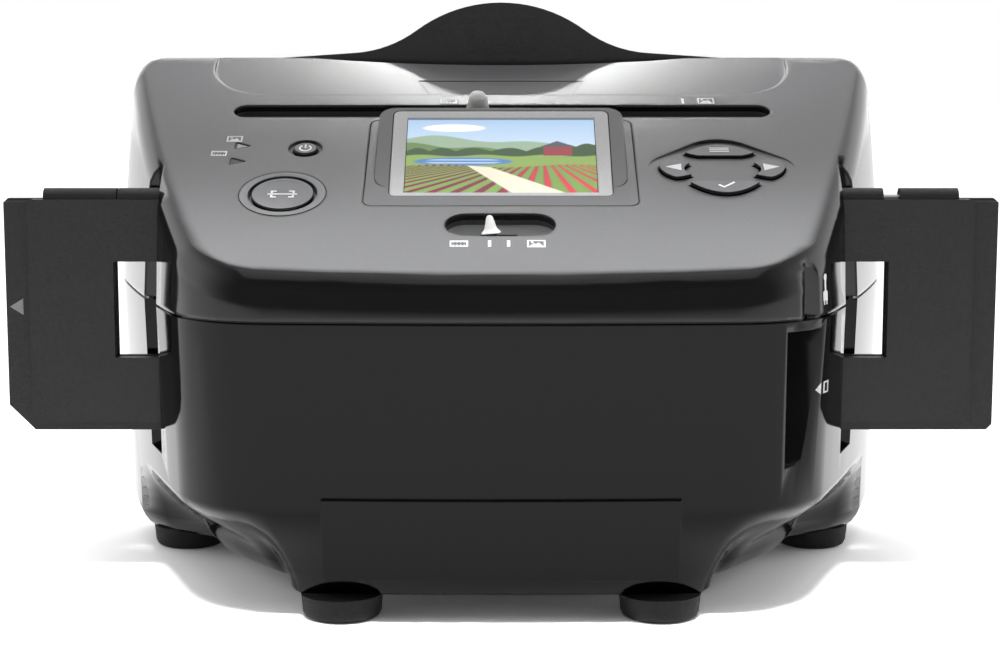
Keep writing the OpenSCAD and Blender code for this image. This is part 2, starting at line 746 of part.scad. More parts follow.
module screen_pod() {
    color([0.3, 0.3, 0.31]) difference() {
        union() {
            on_panel(0, pod_mid_y) translate([0, 0, -pod_recess])
                linear_extrude(pod_recess) rounded_rect(pod_w - 0.5, pod_l - 0.5, 2.3);
            hull() {
                on_pod() translate([0, pod_top_l / 2, -0.3]) linear_extrude(0.3)
                    rounded_rect(pod_top_w, pod_top_l, pod_top_r);
                on_panel(0, pod_front_y) translate([0, pod_start + pod_top_l / 2, -pod_recess])
                    linear_extrude(0.3) rounded_rect(pod_top_w + 1, pod_top_l + 0.6, pod_top_r);
            }
        }
        on_pod() translate([0, bezel_mid, -bezel_t]) linear_extrude(6)
            rounded_rect(bezel_w + 0.4, bezel_l + 0.4, 2);
        on_pod() translate([0, bezel_mid, -20]) linear_extrude(24)
            rounded_rect(bezel_w - 2, bezel_l - 2, 0.6);
    }
}

module screen_bezel() {
    color(light_grey) on_pod() translate([0, 0, -bezel_t]) linear_extrude(bezel_t + 0.1) difference() {
        translate([0, bezel_mid]) rounded_rect(bezel_w, bezel_l, 1.8);
        translate([0, picture_mid]) square([picture_w, picture_l], center = true);
    }
}

module lcd_panel() {
    color([0.1, 0.1, 0.12]) on_pod() translate([0, 0, -bezel_t]) {
        translate([0, bezel_mid, -lcd_t]) linear_extrude(lcd_t)
            square([bezel_w - 2.4, bezel_l - 2.4], center = true);
        translate([0, picture_mid, -eps]) linear_extrude(bezel_t - 0.4 + eps)
            square([picture_w - 0.2, picture_l - 0.2], center = true);
    }
}

// ---- Rings, windows and slot liners of the panel ----

module scan_ring() {
    color([0.42, 0.42, 0.43]) on_panel(scan_at.x, scan_at.y) translate([0, 0, -ring_depth])
        difference() {
            cylinder(r = scan_ring_r, h = ring_depth + 0.2, $fn = 96);
            translate([0, 0, -1]) cylinder(r = scan_r + scan_gap, h = 4, $fn = 96);
        }
}

module status_windows() {
    color([0.12, 0.12, 0.13]) for (p = light_windows_at) on_panel(p.x, p.y)
        translate([0, 0, -panel_t]) linear_extrude(panel_t - 0.2) status_shape(0.1);
}

liner_depth = 4.4;

// Trough under a slot in the panel, with a slit for the lever in its floor
module slot_liner(l, w, slit_x0, slit_x1, slit_y, slit_w) {
    color(black) difference() {
        translate([0, 0, -liner_depth]) linear_extrude(liner_depth - panel_t)
            slot_shape(l + 2.4, w + 2.4);
        translate([0, 0, 1 - liner_depth]) linear_extrude(10) slot_shape(l + 0.1, w + 0.1);
        translate([slit_x0, slit_y - slit_w / 2, -10]) cube([slit_x1 - slit_x0, slit_w, 20]);
    }
}

light_stem = [4, 2];
focus_stem = [3, 3];
slit_gap = 0.6;
focus_swing = 4.4;

module light_slot_liner() {
    on_panel(light_slot_x, light_slot_y) {
        x0 = light_lever_x - light_slot_x - light_stem[0] / 2 - slit_gap;
        slot_liner(light_slot_l, light_slot_w, x0,
                   x0 + light_travel + light_stem[0] + 2 * slit_gap, 0,
                   light_stem[1] + 2 * slit_gap);
    }
}

module focus_slot_liner() {
    on_panel(focus_slot_x, focus_slot_y) {
        x0 = focus_lever_x - focus_slot_x - focus_stem[0] / 2 - 1;
        slot_liner(focus_slot_l, focus_slot_w, x0, x0 + focus_swing + focus_stem[0] + 2,
                   -(liner_depth - 0.5) * tan_slope, focus_stem[1] + 2.2);
    }
}

// ---- Ports ----

// Socket for a memory card, upright, open to the right
module card_socket() {
    color(steel) difference() {
        socket_block(card_at, card_body, 0);
        translate([card_at.x - port_wall - card_body.x + 1, card_at.y - card_slot[0] / 2,
                   card_at.z - card_slot[1] / 2])
            cube([card_body.x, card_slot[0], card_slot[1]]);
    }
}

// Small socket with a tongue, for the lead to the computer, which also feeds the scanner
module usb_socket() {
    x = usb_at.x - port_wall - usb_body.x + 1;
    color(steel) {
        difference() {
            socket_block(usb_at, usb_body, 0);
            translate([x, usb_at.y - usb_slot[0] / 2, usb_at.z - usb_slot[1] / 2])
                cube([usb_body.x, usb_slot[0], usb_slot[1]]);
        }
        translate([x - eps, usb_at.y - 0.4, usb_at.z - usb_slot[1] / 2 + 1])
            cube([usb_body.x - 2, 0.8, usb_slot[1] - 2]);
    }
}

board_t = 1.6;
port_board_y = usb_at.y + usb_body.y / 2;

// Upright board behind both sockets
module port_board() {
    color(board_green) translate([port_x - port_wall - card_body.x + 1, port_board_y, port_low_z + 4])
        cube([card_body.x - 1, board_t, usb_at.z + usb_body.z / 2 - port_low_z - 2]);
}

// ---- Boards ----

module main_board() {
    color(board_green) difference() {
        translate([-board_w / 2, board_front_y, board_z])
            cube([board_w, board_back_y - board_front_y, board_t]);
        for (p = board_holes) translate([p.x, p.y, 0]) cylinder(r = 1.6, h = 40, $fn = 32);
    }
}

// Chips as [x, distance from the board's front edge, width, length, height]
chips = [[-9, 14, 18, 18, 1.6], [-28, 14, 10, 14, 1.2], [18, 12, 8, 12, 1.2]];
capacitor_r = 2.4;
capacitor_h = 5;
capacitor_pitch = 16;

module main_board_chips() {
    color([0.06, 0.06, 0.06]) translate([0, board_front_y, board_z + board_t]) {
        for (c = chips) translate([c[0], c[1], 0]) cube([c[2], c[3], c[4]]);
        for (i = [-1.5:1:1.5]) translate([i * capacitor_pitch, board_back_y - board_front_y - 6, 0])
            cylinder(r = capacitor_r, h = capacitor_h, $fn = 32);
    }
}

// ---- Camera ----

axis_z = holder_z + 32.8;
camera_half = 12;
camera_front_y = front_y + 8.1;
camera_back_y = focus_slot_y - 3.7;
bracket_y = [camera_back_y - 8, camera_back_y];
ring_y = [camera_back_y + 1, camera_back_y + 7.4];
camera_cavity = 9;
camera_wall = 5;
sleeve_front_y = ring_y[1] - 0.3;
barrel_r = 7;
base_top = base_z + base_t;

// Turns its children so that their +Z runs along +Y on the lens axis
module on_axis(y) {
    translate([0, y, axis_z]) rotate([-90, 0, 0]) children();
}

bracket_half = 14;
bracket_foot = 22;
bracket_t = 3;

module camera_bracket() {
    top = axis_z - camera_half;
    d = bracket_y[1] - bracket_y[0];
    color(black) difference() {
        union() {
            translate([-bracket_half, bracket_y[0], base_top]) cube([2 * bracket_half, d, top - base_top]);
            translate([-bracket_foot, bracket_y[0], base_top]) cube([2 * bracket_foot, d, bracket_t]);
        }
        translate([bracket_t - bracket_half, bracket_y[0] - 1, base_top + bracket_t])
            cube([2 * (bracket_half - bracket_t), d - 1, top - base_top - 2 * bracket_t]);
        for (s = [-1, 1]) translate([s * (bracket_foot - 4), bracket_y[0] + d / 2, 0])
            cylinder(r = 1.6, h = 40, $fn = 32);
    }
}

module camera_housing() {
    color(black) difference() {
        union() {
            translate([-camera_half, camera_front_y, axis_z - camera_half])
                cube([2 * camera_half, camera_back_y - camera_front_y, 2 * camera_half]);
            on_axis(camera_back_y - eps) cylinder(r = sleeve_r, h = sleeve_front_y - camera_back_y,
                                                  $fn = 96);
        }
        on_axis(camera_back_y - camera_wall - eps)
            cylinder(r = barrel_r + running_gap, h = 40, $fn = 96);
        translate([-camera_cavity, camera_front_y - 1, axis_z - camera_cavity])
            cube([2 * camera_cavity, camera_back_y - camera_wall - camera_front_y + 1, 2 * camera_cavity]);
    }
}

sensor = [10, 1.6, 8];

module sensor_board() {
    color(board_green) {
        translate([-camera_half, camera_front_y - board_t, axis_z - camera_half])
            cube([2 * camera_half, board_t, 2 * camera_half]);
        translate([-sensor.x / 2, camera_front_y - eps, axis_z - sensor.z / 2]) cube(sensor);
    }
}

lever_angle = asin(focus_lever_x / (top_z(focus_slot_y) - axis_z));
lever_reach = top_z(focus_slot_y) - axis_z;

module focus_ring() {
    color([0.12, 0.12, 0.12]) {
        on_axis(ring_y[0]) difference() {
            cylinder(r = focus_ring_r, h = ring_y[1] - ring_y[0], $fn = 96);
            translate([0, 0, -1]) cylinder(r = sleeve_r + running_gap, h = 20, $fn = 96);
        }
        // Arm that reaches up to the slot
        translate([0, focus_slot_y, axis_z]) rotate([0, lever_angle, 0])
            translate([-focus_stem[0] / 2, -focus_stem[1] / 2, focus_ring_r - 0.6])
                cube([focus_stem[0], focus_stem[1], lever_reach - focus_ring_r - 1.4]);
    }
}

focus_tip = [5, 4.8, 4];
focus_tip_r = 0.8;

// Pale pointer on the end of the arm
module focus_lever() {
    color([0.82, 0.82, 0.8]) translate([0, focus_slot_y, axis_z]) rotate([0, lever_angle, 0])
        translate([0, 0, lever_reach - 2]) {
            translate([-focus_tip.x / 2, -focus_tip.y / 2, 0]) cube([focus_tip.x, focus_tip.y, 0.8]);
            translate([0, 0, 0.6]) pointer(focus_tip.x, focus_tip.y, focus_tip_r, focus_tip.z);
        }
}

// Pointer that tapers to a round tip
module pointer(w, d, tip, h) {
    hull() {
        translate([-w / 2, -d / 2, 0]) cube([w, d, 0.2]);
        translate([0, 0, h - tip]) scale([1, 1.2, 1]) sphere(r = tip, $fn = 24);
    }
}

module lens_barrel() {
    color(black) difference() {
        union() {
            on_axis(camera_back_y + 1) cylinder(r = barrel_r, h = ring_y[1] - camera_back_y - 1 + eps,
                                                $fn = 96);
            on_axis(ring_y[1]) cylinder(r = focus_ring_r - 1, h = 1.6, $fn = 96);
        }
        on_axis(camera_back_y) cylinder(r = 4, h = 40, $fn = 64);
        on_axis(ring_y[1] - 1) cylinder(r = 5.5, h = 20, $fn = 64);
    }
}

module lens_glass() {
    color([0.3, 0.4, 0.5]) on_axis(ring_y[1] - 1)
        rotate_extrude($fn = 64) polygon([[0, 0], [5.4, 0], [5.4, 1], [4, 1.7], [2, 2.1], [0, 2.2]]);
}

// ---- Film guide ----

guide_half = pocket_x - wall - 3.2;
guide_z = holder_z - 0.3;
lip_t = 2;
lip_h = 5;
guide_floor = 3;
guide_leg = 8;
guide_leg_x = 50;
gate_w = window_w + 27;
gate_h = holder_h - 4;

module film_guide() {
    y0 = holder_front_y - holder_gap - lip_t;
    y1 = holder_back_y + holder_gap;
    color(black) difference() {
        union() {
            translate([-guide_half, y0, guide_z - guide_floor])
                cube([2 * guide_half, y1 + lip_t - y0, guide_floor]);
            for (y = [y0, y1]) translate([-guide_half, y, guide_z - eps])
                cube([2 * guide_half, lip_t, lip_h]);
            for (s = [-1, 1]) translate([s * guide_leg_x - guide_leg / 2, y0, base_top])
                cube([guide_leg, y1 + lip_t - y0, guide_z - guide_floor - base_top + eps]);
            // Gate plate in front of the film, with the scanned frame cut out
            translate([-gate_w / 2, y0, guide_z]) cube([gate_w, lip_t, gate_h]);
        }
        translate([-window_w / 2 - 0.5, y0 - 1, axis_z - window_h / 2 - 0.2])
            cube([window_w + 1, lip_t + 2, window_h + 0.4]);
    }
}

// ---- Light rail, carriage and lever ----

rail_y = light_slot_y - 8.4;
rail_z = top_z(light_slot_y) - 20.3;
panel_half_w = 22;
panel_half_h = 16;
light_front_y = holder_back_y + 1.6;
light_t = 4;
carriage_x = [light_lever_x - 9.6, light_lever_x + 14.4];
rail_x = [carriage_x[0] - 30, carriage_x[1] + light_travel + 1.2];
rail_post = [4, 8];

module light_rail() {
    color(steel) {
        for (x = rail_x) translate([x, rail_y - rail_post.y / 2, base_top])
            cube([rail_post.x, rail_post.y, rail_z + 5 - base_top]);
        translate([rail_x[0] + rail_post.x - eps, rail_y, rail_z]) rotate([0, 90, 0])
            cylinder(r = rod_r, h = rail_x[1] - rail_x[0] - rail_post.x + 2 * eps, $fn = 48);
    }
}

module light_panel() {
    color([0.9, 0.9, 0.88]) translate([-panel_half_w, light_front_y, axis_z - panel_half_h])
        cube([2 * panel_half_w, light_t, 2 * panel_half_h]);
}

stem_l = 16;

module light_carriage() {
    back = light_front_y + light_t;
    w = carriage_x[1] - carriage_x[0];
    arm_back_y = light_slot_y + stem_l * sin(panel_slope) + 2;
    color(black) difference() {
        union() {
            translate([-panel_half_w, back, axis_z - panel_half_h])
                cube([2 * panel_half_w, 2, 2 * panel_half_h]);
            translate([carriage_x[0], back, axis_z]) cube([w, 2, rail_z - axis_z]);
            translate([carriage_x[0], back, rail_z - 5]) cube([w, arm_back_y - back, 9]);
        }
        translate([carriage_x[0] - 1, rail_y, rail_z]) rotate([0, 90, 0])
            cylinder(r = rod_r + running_gap, h = 40, $fn = 48);
    }
}

light_tip = [7, 4.4, 6.8];
light_tip_r = 2.5;

// Pale lever on a stem that stands square to the panel, down to the carriage's arm
module light_lever() {
    color([0.82, 0.82, 0.8]) difference() {
        on_panel(light_lever_x, light_slot_y) {
            translate([-light_stem[0] / 2, -light_stem[1] / 2, -stem_l - 4])
                cube([light_stem[0], light_stem[1], stem_l + 2.1]);
            translate([-light_tip.x / 2, -light_tip.y / 2, -2]) cube([light_tip.x, light_tip.y, 1.4]);
            translate([0, 0, -0.8]) pointer(light_tip.x, light_tip.y, light_tip_r, light_tip.z);
        }
        translate([-40, 0, 0]) cube([80, 60, rail_z + 4]);
    }
}

// ---- Photo tray, its guides and lights ----

groove_depth = 2;

// Where the round top of the grip turns into the hollow, and where that ends on the shoulder
grip_turn = [grip_r * sin(grip_angle), grip_top_z - grip_r * (1 - cos(grip_angle))];
grip_foot = grip_turn + grip_foot_r * [sin(grip_angle) - sin(shoulder_angle),
                                       cos(grip_angle) - cos(shoulder_angle)];

// Right half of the tray's upper edge, from the shoulder's end to the middle
grip_edge = concat([[tray_w / 2, grip_foot.y - (tray_w / 2 - grip_foot.x) * tan(shoulder_angle)]],
    [for (i = [0:8]) let (a = shoulder_angle + (grip_angle - shoulder_angle) * i / 8)
     grip_turn + grip_foot_r * [sin(grip_angle) - sin(a), cos(grip_angle) - cos(a)]],
    [for (i = [1:10]) let (a = grip_angle * (1 - i / 10))
     [grip_r * sin(a), grip_top_z - grip_r * (1 - cos(a))]]);
tray_corner = 2;

module photo_tray() {
    color(black) translate([0, tray_y, 0]) difference() {
        translate([0, tray_t / 2, 0]) rotate([90, 0, 0]) linear_extrude(tray_t)
            polygon(concat([[-tray_w / 2, tray_z + tray_corner], [-tray_w / 2 + tray_corner, tray_z],
                            [tray_w / 2 - tray_corner, tray_z], [tray_w / 2, tray_z + tray_corner]],
                           grip_edge,
                           [for (i = [len(grip_edge) - 2:-1:0]) [-grip_edge[i].x, grip_edge[i].y]]));
        translate([-photo_w / 2, -tray_t / 2 - 1, tray_z + 5]) cube([photo_w, 1.6, photo_h]);
    }
}

guide_low_z = tray_z - 2;
guide_top_z = crest_top - 18.7;
guide_w = 6;
guide_t = 6.6;
guide_front_y = tray_y - 3.6;
stop_half = 50;
stop_y = tray_y - 7.6;
seat_gap_z = 0.3;

module photo_guides() {
    color(black) {
        for (s = [-1, 1]) scale([s, 1, 1]) translate([tray_w / 2 - groove_depth, 0, 0]) {
            difference() {
                translate([0, guide_front_y, guide_low_z])
                    cube([guide_w, guide_t, guide_top_z - guide_low_z]);
                translate([-1, tray_y - tray_t / 2 - tray_gap, guide_low_z - 1])
                    cube([groove_depth + 1 + tray_gap, tray_t + 2 * tray_gap, guide_top_z]);
            }
            translate([0, guide_front_y - 10, base_top]) cube([guide_w, 10, guide_low_z - base_top]);
            translate([0, guide_front_y - 2, base_top]) cube([guide_w, 2.2, 40]);
        }
        // Stop that the tray stands on
        translate([-stop_half, stop_y, base_top]) cube([2 * stop_half, 3, guide_low_z - base_top]);
        translate([-stop_half, stop_y, guide_low_z - 1])
            cube([2 * stop_half, 9, tray_z - seat_gap_z - guide_low_z + 1]);
    }
}

// Upright strips that light the photo from both sides
photo_light_x = tray_w / 2 + 5;
photo_light_y = tray_y - 31.6;
photo_light = [1.6, 16, top_z(photo_light_y) - 20 - base_top];

module photo_lights() {
    color([0.85, 0.85, 0.8]) for (s = [-1, 1]) scale([s, 1, 1])
        translate([photo_light_x, photo_light_y, base_top]) cube(photo_light);
}

// ---- Film holder ----

knuckle_gap = 0.4;
slide = 50.8;
slide_depth = 1.5;
// Ends of the knuckles that belong to the back leaf
back_knuckles = [[-100.8, -60], [-20, 20], [60, 100.6]];
// Ends of the knuckles that belong to the front leaf
front_knuckles = [[-120.4, -101.2], [-59.6, -20.4], [20.4, 59.6], [105, 120.4]];

module film_windows(y0, t) {
    for (i = [0:window_count - 1]) translate([(i - (window_count - 1) / 2) * window_pitch, y0, axis_z])
        translate([-window_w / 2, -1, -window_h / 2]) cube([window_w, t + 2, window_h]);
}

module knuckles(ends, side) {
    for (e = ends) {
        translate([e[0], holder_y, knuckle_z]) rotate([0, 90, 0])
            cylinder(r = knuckle_r, h = e[1] - e[0], $fn = 48);
        // Web between the knuckle and its leaf
        translate([e[0], side > 0 ? holder_y + leaf_gap / 2 : holder_y - leaf_gap / 2 - knuckle_r + 0.5,
                   knuckle_z - knuckle_r - 1])
            cube([e[1] - e[0], knuckle_r - 0.5, knuckle_r + 1]);
    }
}

// Room that a leaf leaves around the other leaf's knuckles
module knuckle_room(ends) {
    for (e = ends) translate([e[0] - knuckle_gap, holder_y, knuckle_z]) rotate([0, 90, 0])
        cylinder(r = knuckle_r + knuckle_gap, h = e[1] - e[0] + 2 * knuckle_gap, $fn = 48);
}

module pin_bore() {
    translate([-150, holder_y, knuckle_z]) rotate([0, 90, 0])
        cylinder(r = pin_r + running_gap, h = 300, $fn = 32);
}

module film_tray() {
    y0 = holder_y + leaf_gap / 2;
    l = holder_l / 2;
    color(black) difference() {
        union() {
            translate([0, y0 + leaf_t, 0]) rotate([90, 0, 0]) linear_extrude(leaf_t)
                polygon([[-l, holder_z + holder_chamfer], [-l + holder_chamfer, holder_z],
                         [l - 1.5, holder_z], [l, holder_z + 1.5], [l, leaf_top - 1], [l - 1, leaf_top],
                         [-l + 1, leaf_top], [-l, leaf_top - 1]]);
            knuckles(back_knuckles, 1);
        }
        film_windows(y0, leaf_t);
        // Pockets that the mounted slides lie in
        for (i = [0:window_count - 1])
            translate([(i - (window_count - 1) / 2) * window_pitch - slide / 2, y0 - 1, axis_z - slide / 2])
                cube([slide, 1 + slide_depth, slide]);
        knuckle_room(front_knuckles);
        pin_bore();
    }
}

module film_cover() {
    y0 = holder_y - leaf_gap / 2 - leaf_t;
    l = holder_l / 2 - leaf_step_x;
    color(black) difference() {
        union() {
            translate([0, y0 + leaf_t, 0]) rotate([90, 0, 0]) linear_extrude(leaf_t)
                translate([0, (holder_z + leaf_step_z + leaf_top) / 2])
                    rounded_rect(2 * l, leaf_top - holder_z - leaf_step_z, 1.5);
            knuckles(front_knuckles, -1);
        }
        film_windows(y0, leaf_t);
        knuckle_room(back_knuckles);
        pin_bore();
    }
}

module film_hinge_pin() {
    color(steel) translate([-119, holder_y, knuckle_z]) rotate([0, 90, 0])
        cylinder(r = pin_r, h = 238, $fn = 32);
}

// ---- Buttons ----

scan_top = 0.2;
power_top = 0.2;
button_edge = 0.3;

// Round button: a cap through the panel with a flange w wider than the cap under it
module round_button(r, top, w = flange_w) {
    translate([0, 0, -panel_t - flange_rest - flange_t]) cylinder(r = r + w, h = flange_t, $fn = 96);
    translate([0, 0, -panel_t - flange_rest - eps])
        cylinder(r = r, h = panel_t + flange_rest + top - button_edge, $fn = 96);
    translate([0, 0, top - button_edge - eps])
        cylinder(r1 = r, r2 = r - button_edge, h = button_edge, $fn = 96);
}

module scan_button() {
    color([0.4, 0.4, 0.41]) on_panel(scan_at.x, scan_at.y)
        round_button(scan_r, scan_top, scan_gap + flange_w);
}

module power_button() {
    color([0.4, 0.4, 0.41]) on_panel(power_at.x, power_at.y) round_button(power_r, power_top);
}

module key(name) {
    color([0.38, 0.38, 0.39]) on_panel(pad_at.x, pad_at.y) {
        translate([0, 0, -panel_t - flange_rest - flange_t]) linear_extrude(flange_t)
            key_outline(name, -0.3);
        translate([0, 0, -panel_t - flange_rest - eps])
            linear_extrude(panel_t + flange_rest + key_top(name)) key_outline(name, button_gap);
    }
}

module mode_button() { key("mode"); }
module enter_button() { key("enter"); }
module left_button() { key("left"); }
module right_button() { key("right"); }

upper_shell();
lower_shell();
base_plate();
feet();
base_screws();
screen_pod();
screen_bezel();
lcd_panel();
scan_ring();
status_windows();
light_slot_liner();
focus_slot_liner();
usb_socket();
card_socket();
port_board();
main_board();
main_board_chips();
camera_bracket();
camera_housing();
sensor_board();
film_guide();
light_rail();
photo_guides();
photo_lights();
film_tray();
film_cover();
film_hinge_pin();
photo_tray();
light_carriage();
light_lever();
light_panel();
focus_ring();
lens_barrel();
lens_glass();
focus_lever();
scan_button();
power_button();
mode_button();
enter_button();
left_button();
right_button();
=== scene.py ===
import json
import math

import bmesh
import bpy
import numpy as np
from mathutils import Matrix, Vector

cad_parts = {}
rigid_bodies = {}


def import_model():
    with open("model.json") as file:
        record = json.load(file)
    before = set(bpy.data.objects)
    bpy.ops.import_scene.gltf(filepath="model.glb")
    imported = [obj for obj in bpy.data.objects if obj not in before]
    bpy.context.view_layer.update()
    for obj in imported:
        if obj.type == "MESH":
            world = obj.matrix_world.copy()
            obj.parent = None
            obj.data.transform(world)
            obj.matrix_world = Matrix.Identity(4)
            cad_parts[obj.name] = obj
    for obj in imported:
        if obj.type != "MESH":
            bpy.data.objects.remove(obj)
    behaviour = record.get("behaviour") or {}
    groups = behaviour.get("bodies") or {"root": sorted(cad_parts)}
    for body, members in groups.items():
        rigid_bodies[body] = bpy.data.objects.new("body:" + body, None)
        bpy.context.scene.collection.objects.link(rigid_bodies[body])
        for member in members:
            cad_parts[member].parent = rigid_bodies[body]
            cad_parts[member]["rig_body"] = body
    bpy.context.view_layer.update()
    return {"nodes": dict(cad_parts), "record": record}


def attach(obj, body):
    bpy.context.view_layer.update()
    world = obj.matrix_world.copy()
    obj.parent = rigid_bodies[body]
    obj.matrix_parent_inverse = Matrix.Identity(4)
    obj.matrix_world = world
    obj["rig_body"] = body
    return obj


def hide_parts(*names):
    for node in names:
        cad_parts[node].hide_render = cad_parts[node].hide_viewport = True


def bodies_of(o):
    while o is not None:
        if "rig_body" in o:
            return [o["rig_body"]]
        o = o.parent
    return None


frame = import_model()

bl_info = {
    "name": "Desktop film scanner",
    "version": (1, 0, 0),
    "blender": (4, 5, 0),
    "location": "View3D > Sidebar > Scanner",
    "description": "Dresses the packed scanner: shells, keys, screen picture, printed signs and studio",
    "category": "Object",
}

MM = 0.001  # one millimetre in metres
HOUSING = "housing"

# ---- Sizes shared with the construction, in millimetres and degrees ----

PANEL_SLOPE = 26.0
PANEL_FRONT_Z = 86.0
FRONT_Y = -62.1
SCAN_AT = (-56.6, FRONT_Y + 37.7)
SCAN_R = 8.1
SCAN_HOLE_R = 8.9
SCAN_RING_R = 11.3
SCAN_FLANGE_R = 9.8
POWER_AT = (-52.5, FRONT_Y + 59.45)
PAD_AT = (58.4, FRONT_Y + 49.5)
KEY_TOP = 1.05
LIT_WINDOW_AT = (-69.6, FRONT_Y + 60.8)
LIGHT_SLOT_Y = FRONT_Y + 78.5
LIGHT_LEVER_X = -6.4
FOCUS_SLOT_Y = FRONT_Y + 23.8
FOCUS_LEVER_X = -2.7
AXIS_Z = 73.2
POD_FRONT_Y = FRONT_Y + 32.1
POD_START = 9.4
POD_ANGLE = math.degrees(math.asin(4.6 / 35.8))
PICTURE_W = 50.6
PICTURE_L = 33.0
PICTURE_MID = 14.5
PICTURE_GAP = 0.3
PICTURE_DEPTH = 0.37
GLASS = 0.2
HOLDER_FRONT_Y = -13.9
TRAY_FRONT_Y = 48.3
CORNER_R = 33.2
CORNER_TURN = math.radians(60.4)
CARD_SIGN_AT = (81.73, -44.55, 57.0)
PLUG_SIGN_AT = (81.98, -44.55, 82.2)
SKIRT_IN = 7.0
SKIRT_BELOW_Z, SKIRT_FADE_Z = 26.0, 17.0
SKIRT_BESIDE_X, SKIRT_FADE_X = 44.0, 12.0
SKIRT_BEFORE_Y, SKIRT_FADE_Y = -12.0, 28.0


# ---- Helpers ----

def smooth(t):
    """Smooth step: 3t^2 - 2t^3, with t held between 0 and 1."""
    t = np.clip(t, 0.0, 1.0)
    return t * t * (3.0 - 2.0 * t)


def linear(text):
    """Turns an sRGB hex colour into linear red, green, blue and alpha."""
    srgb = np.array([int(text[i:i + 2], 16) for i in (1, 3, 5)]) / 255.0
    low = srgb / 12.92
    high = ((srgb + 0.055) / 1.055) ** 2.4
    return (*np.where(srgb <= 0.04045, low, high).tolist(), 1.0)


def add(tree, kind, inputs=None, **settings):
    """Adds a node with its settings, and links or sets its inputs by name or number."""
    node = tree.nodes.new(kind)
    for key, value in settings.items():
        setattr(node, key, value)
    for key, value in (inputs or {}).items():
        socket = node.inputs[key]
        if isinstance(value, bpy.types.NodeSocket):
            tree.links.new(value, socket)
        else:
            socket.default_value = value
    return node


def top_z(y):
    """Height of the panel: a plane of the panel's slope that starts at its front edge."""
    return PANEL_FRONT_Z + math.tan(math.radians(PANEL_SLOPE)) * (y - FRONT_Y)


def leaned(points, degrees):
    """Turns points about the X axis by an angle."""
    a = math.radians(degrees)
    p = np.asarray(points, float)
    return np.stack([p[..., 0], p[..., 1] * math.cos(a) - p[..., 2] * math.sin(a),
                     p[..., 1] * math.sin(a) + p[..., 2] * math.cos(a)], -1)


def on_panel(points, x, y):
    """Carries points from the panel's own frame, at x and y, to the object: a turn by the slope
    about X, then a shift."""
    return leaned(points, PANEL_SLOPE) + np.array([x, y, top_z(y)])


def on_pod(points):
    """Carries points from the sloped top of the screen pod to the object: a turn by the pod's own
    angle, a shift up the flange, then the panel's frame."""
    return on_panel(leaned(points, POD_ANGLE) + np.array([0, POD_START, 0]), 0, POD_FRONT_Y)


def on_front(points, y):
    """Carries points to an upright plane that faces forwards: x stays, y goes up, z comes forward."""
    p = np.asarray(points, float)
    return np.stack([p[..., 0], y - p[..., 2], p[..., 1]], -1)


def on_corner(points, at, lean):
    """Carries points to the rounded front corner on the right, at a point of it: x goes round an
    upright cylinder of the corner's radius, y goes up and out by the lean, and z comes out."""
    p = np.asarray(points, float)
    turn = CORNER_TURN + p[..., 0] / CORNER_R
    out = CORNER_R + p[..., 2] + lean * p[..., 1]
    return np.stack([at[0] - CORNER_R * math.sin(CORNER_TURN) + out * np.sin(turn),
                     at[1] + CORNER_R * math.cos(CORNER_TURN) - out * np.cos(turn), at[2] + p[..., 1]], -1)


def curve(points, steps):
    """A curve through points: a Catmull-Rom spline, whose slope at a point is half the way between
    its two neighbours, with the given number of steps from one point to the next."""
    p = np.asarray(points, float)
    ends = np.concatenate([[2 * p[0] - p[1]], p, [2 * p[-1] - p[-2]]])
    t = np.linspace(0, 1, steps, endpoint=False)[None, :, None]
    a, b, c, d = (ends[i:len(ends) - 3 + i, None, :] for i in range(4))
    bent = 0.5 * (2 * b + (c - a) * t + (2 * a - 5 * b + 4 * c - d) * t ** 2
                  + (3 * b - a - 3 * c + d) * t ** 3)
    return np.concatenate([bent.reshape(-1, p.shape[1]), p[-1:]])


def grid_faces(rows, columns, around=False, looped=False):
    """Quads of a grid of rows by columns. Around joins the last column to the first, and looped the
    last row to the first."""
    i, j = np.meshgrid(np.arange(rows if looped else rows - 1),
                       np.arange(columns if around else columns - 1), indexing="ij")
    k, m = (j + 1) % columns, (i + 1) % rows
    return np.stack([i * columns + j, i * columns + k, m * columns + k, m * columns + j],
                    -1).reshape(-1, 4).tolist()


def drawn_in(mesh):
    """Narrows a skirt towards its front feet. A point moves towards the middle by the full width
    times a straight rise downwards, a smooth step outwards from the door and one forwards."""
    points = np.empty(len(mesh.vertices) * 3)
    mesh.vertices.foreach_get("co", points)
    x, y, z = points.reshape(-1, 3).T / MM
    low = np.clip((SKIRT_BELOW_Z - z) / SKIRT_FADE_Z, 0, 1)
    wide = smooth((np.abs(x) - SKIRT_BESIDE_X) / SKIRT_FADE_X)
    front = smooth((SKIRT_BEFORE_Y - y) / SKIRT_FADE_Y)
    points[::3] -= np.sign(x) * SKIRT_IN * MM * low * wide * front
    mesh.vertices.foreach_set("co", points)
    mesh.update()


def lofted(rings):
    """Vertices and faces of a closed solid through rings, anticlockwise from above and going up."""
    rings = np.asarray(rings, float)
    count, sides = rings.shape[:2]
    centres = np.stack([rings[0].mean(0), rings[-1].mean(0)])
    vertices = np.concatenate([rings.reshape(-1, 3), centres])
    low, high, last = count * sides, count * sides + 1, (count - 1) * sides
    faces = grid_faces(count, sides, around=True)
    j = np.arange(sides)
    faces += np.stack([(j + 1) % sides, j, np.full(sides, low)], -1).tolist()
    faces += np.stack([last + j, last + (j + 1) % sides, np.full(sides, high)], -1).tolist()
    return vertices, faces


def turned(profile, sides=96):
    """Rings of a solid of revolution about Z: every profile point (r, z) becomes a circle."""
    a = np.linspace(0, 2 * np.pi, sides, endpoint=False)
    r, z = np.asarray(profile, float).T
    return np.stack([r[:, None] * np.cos(a), r[:, None] * np.sin(a), z[:, None] + 0 * a], -1)


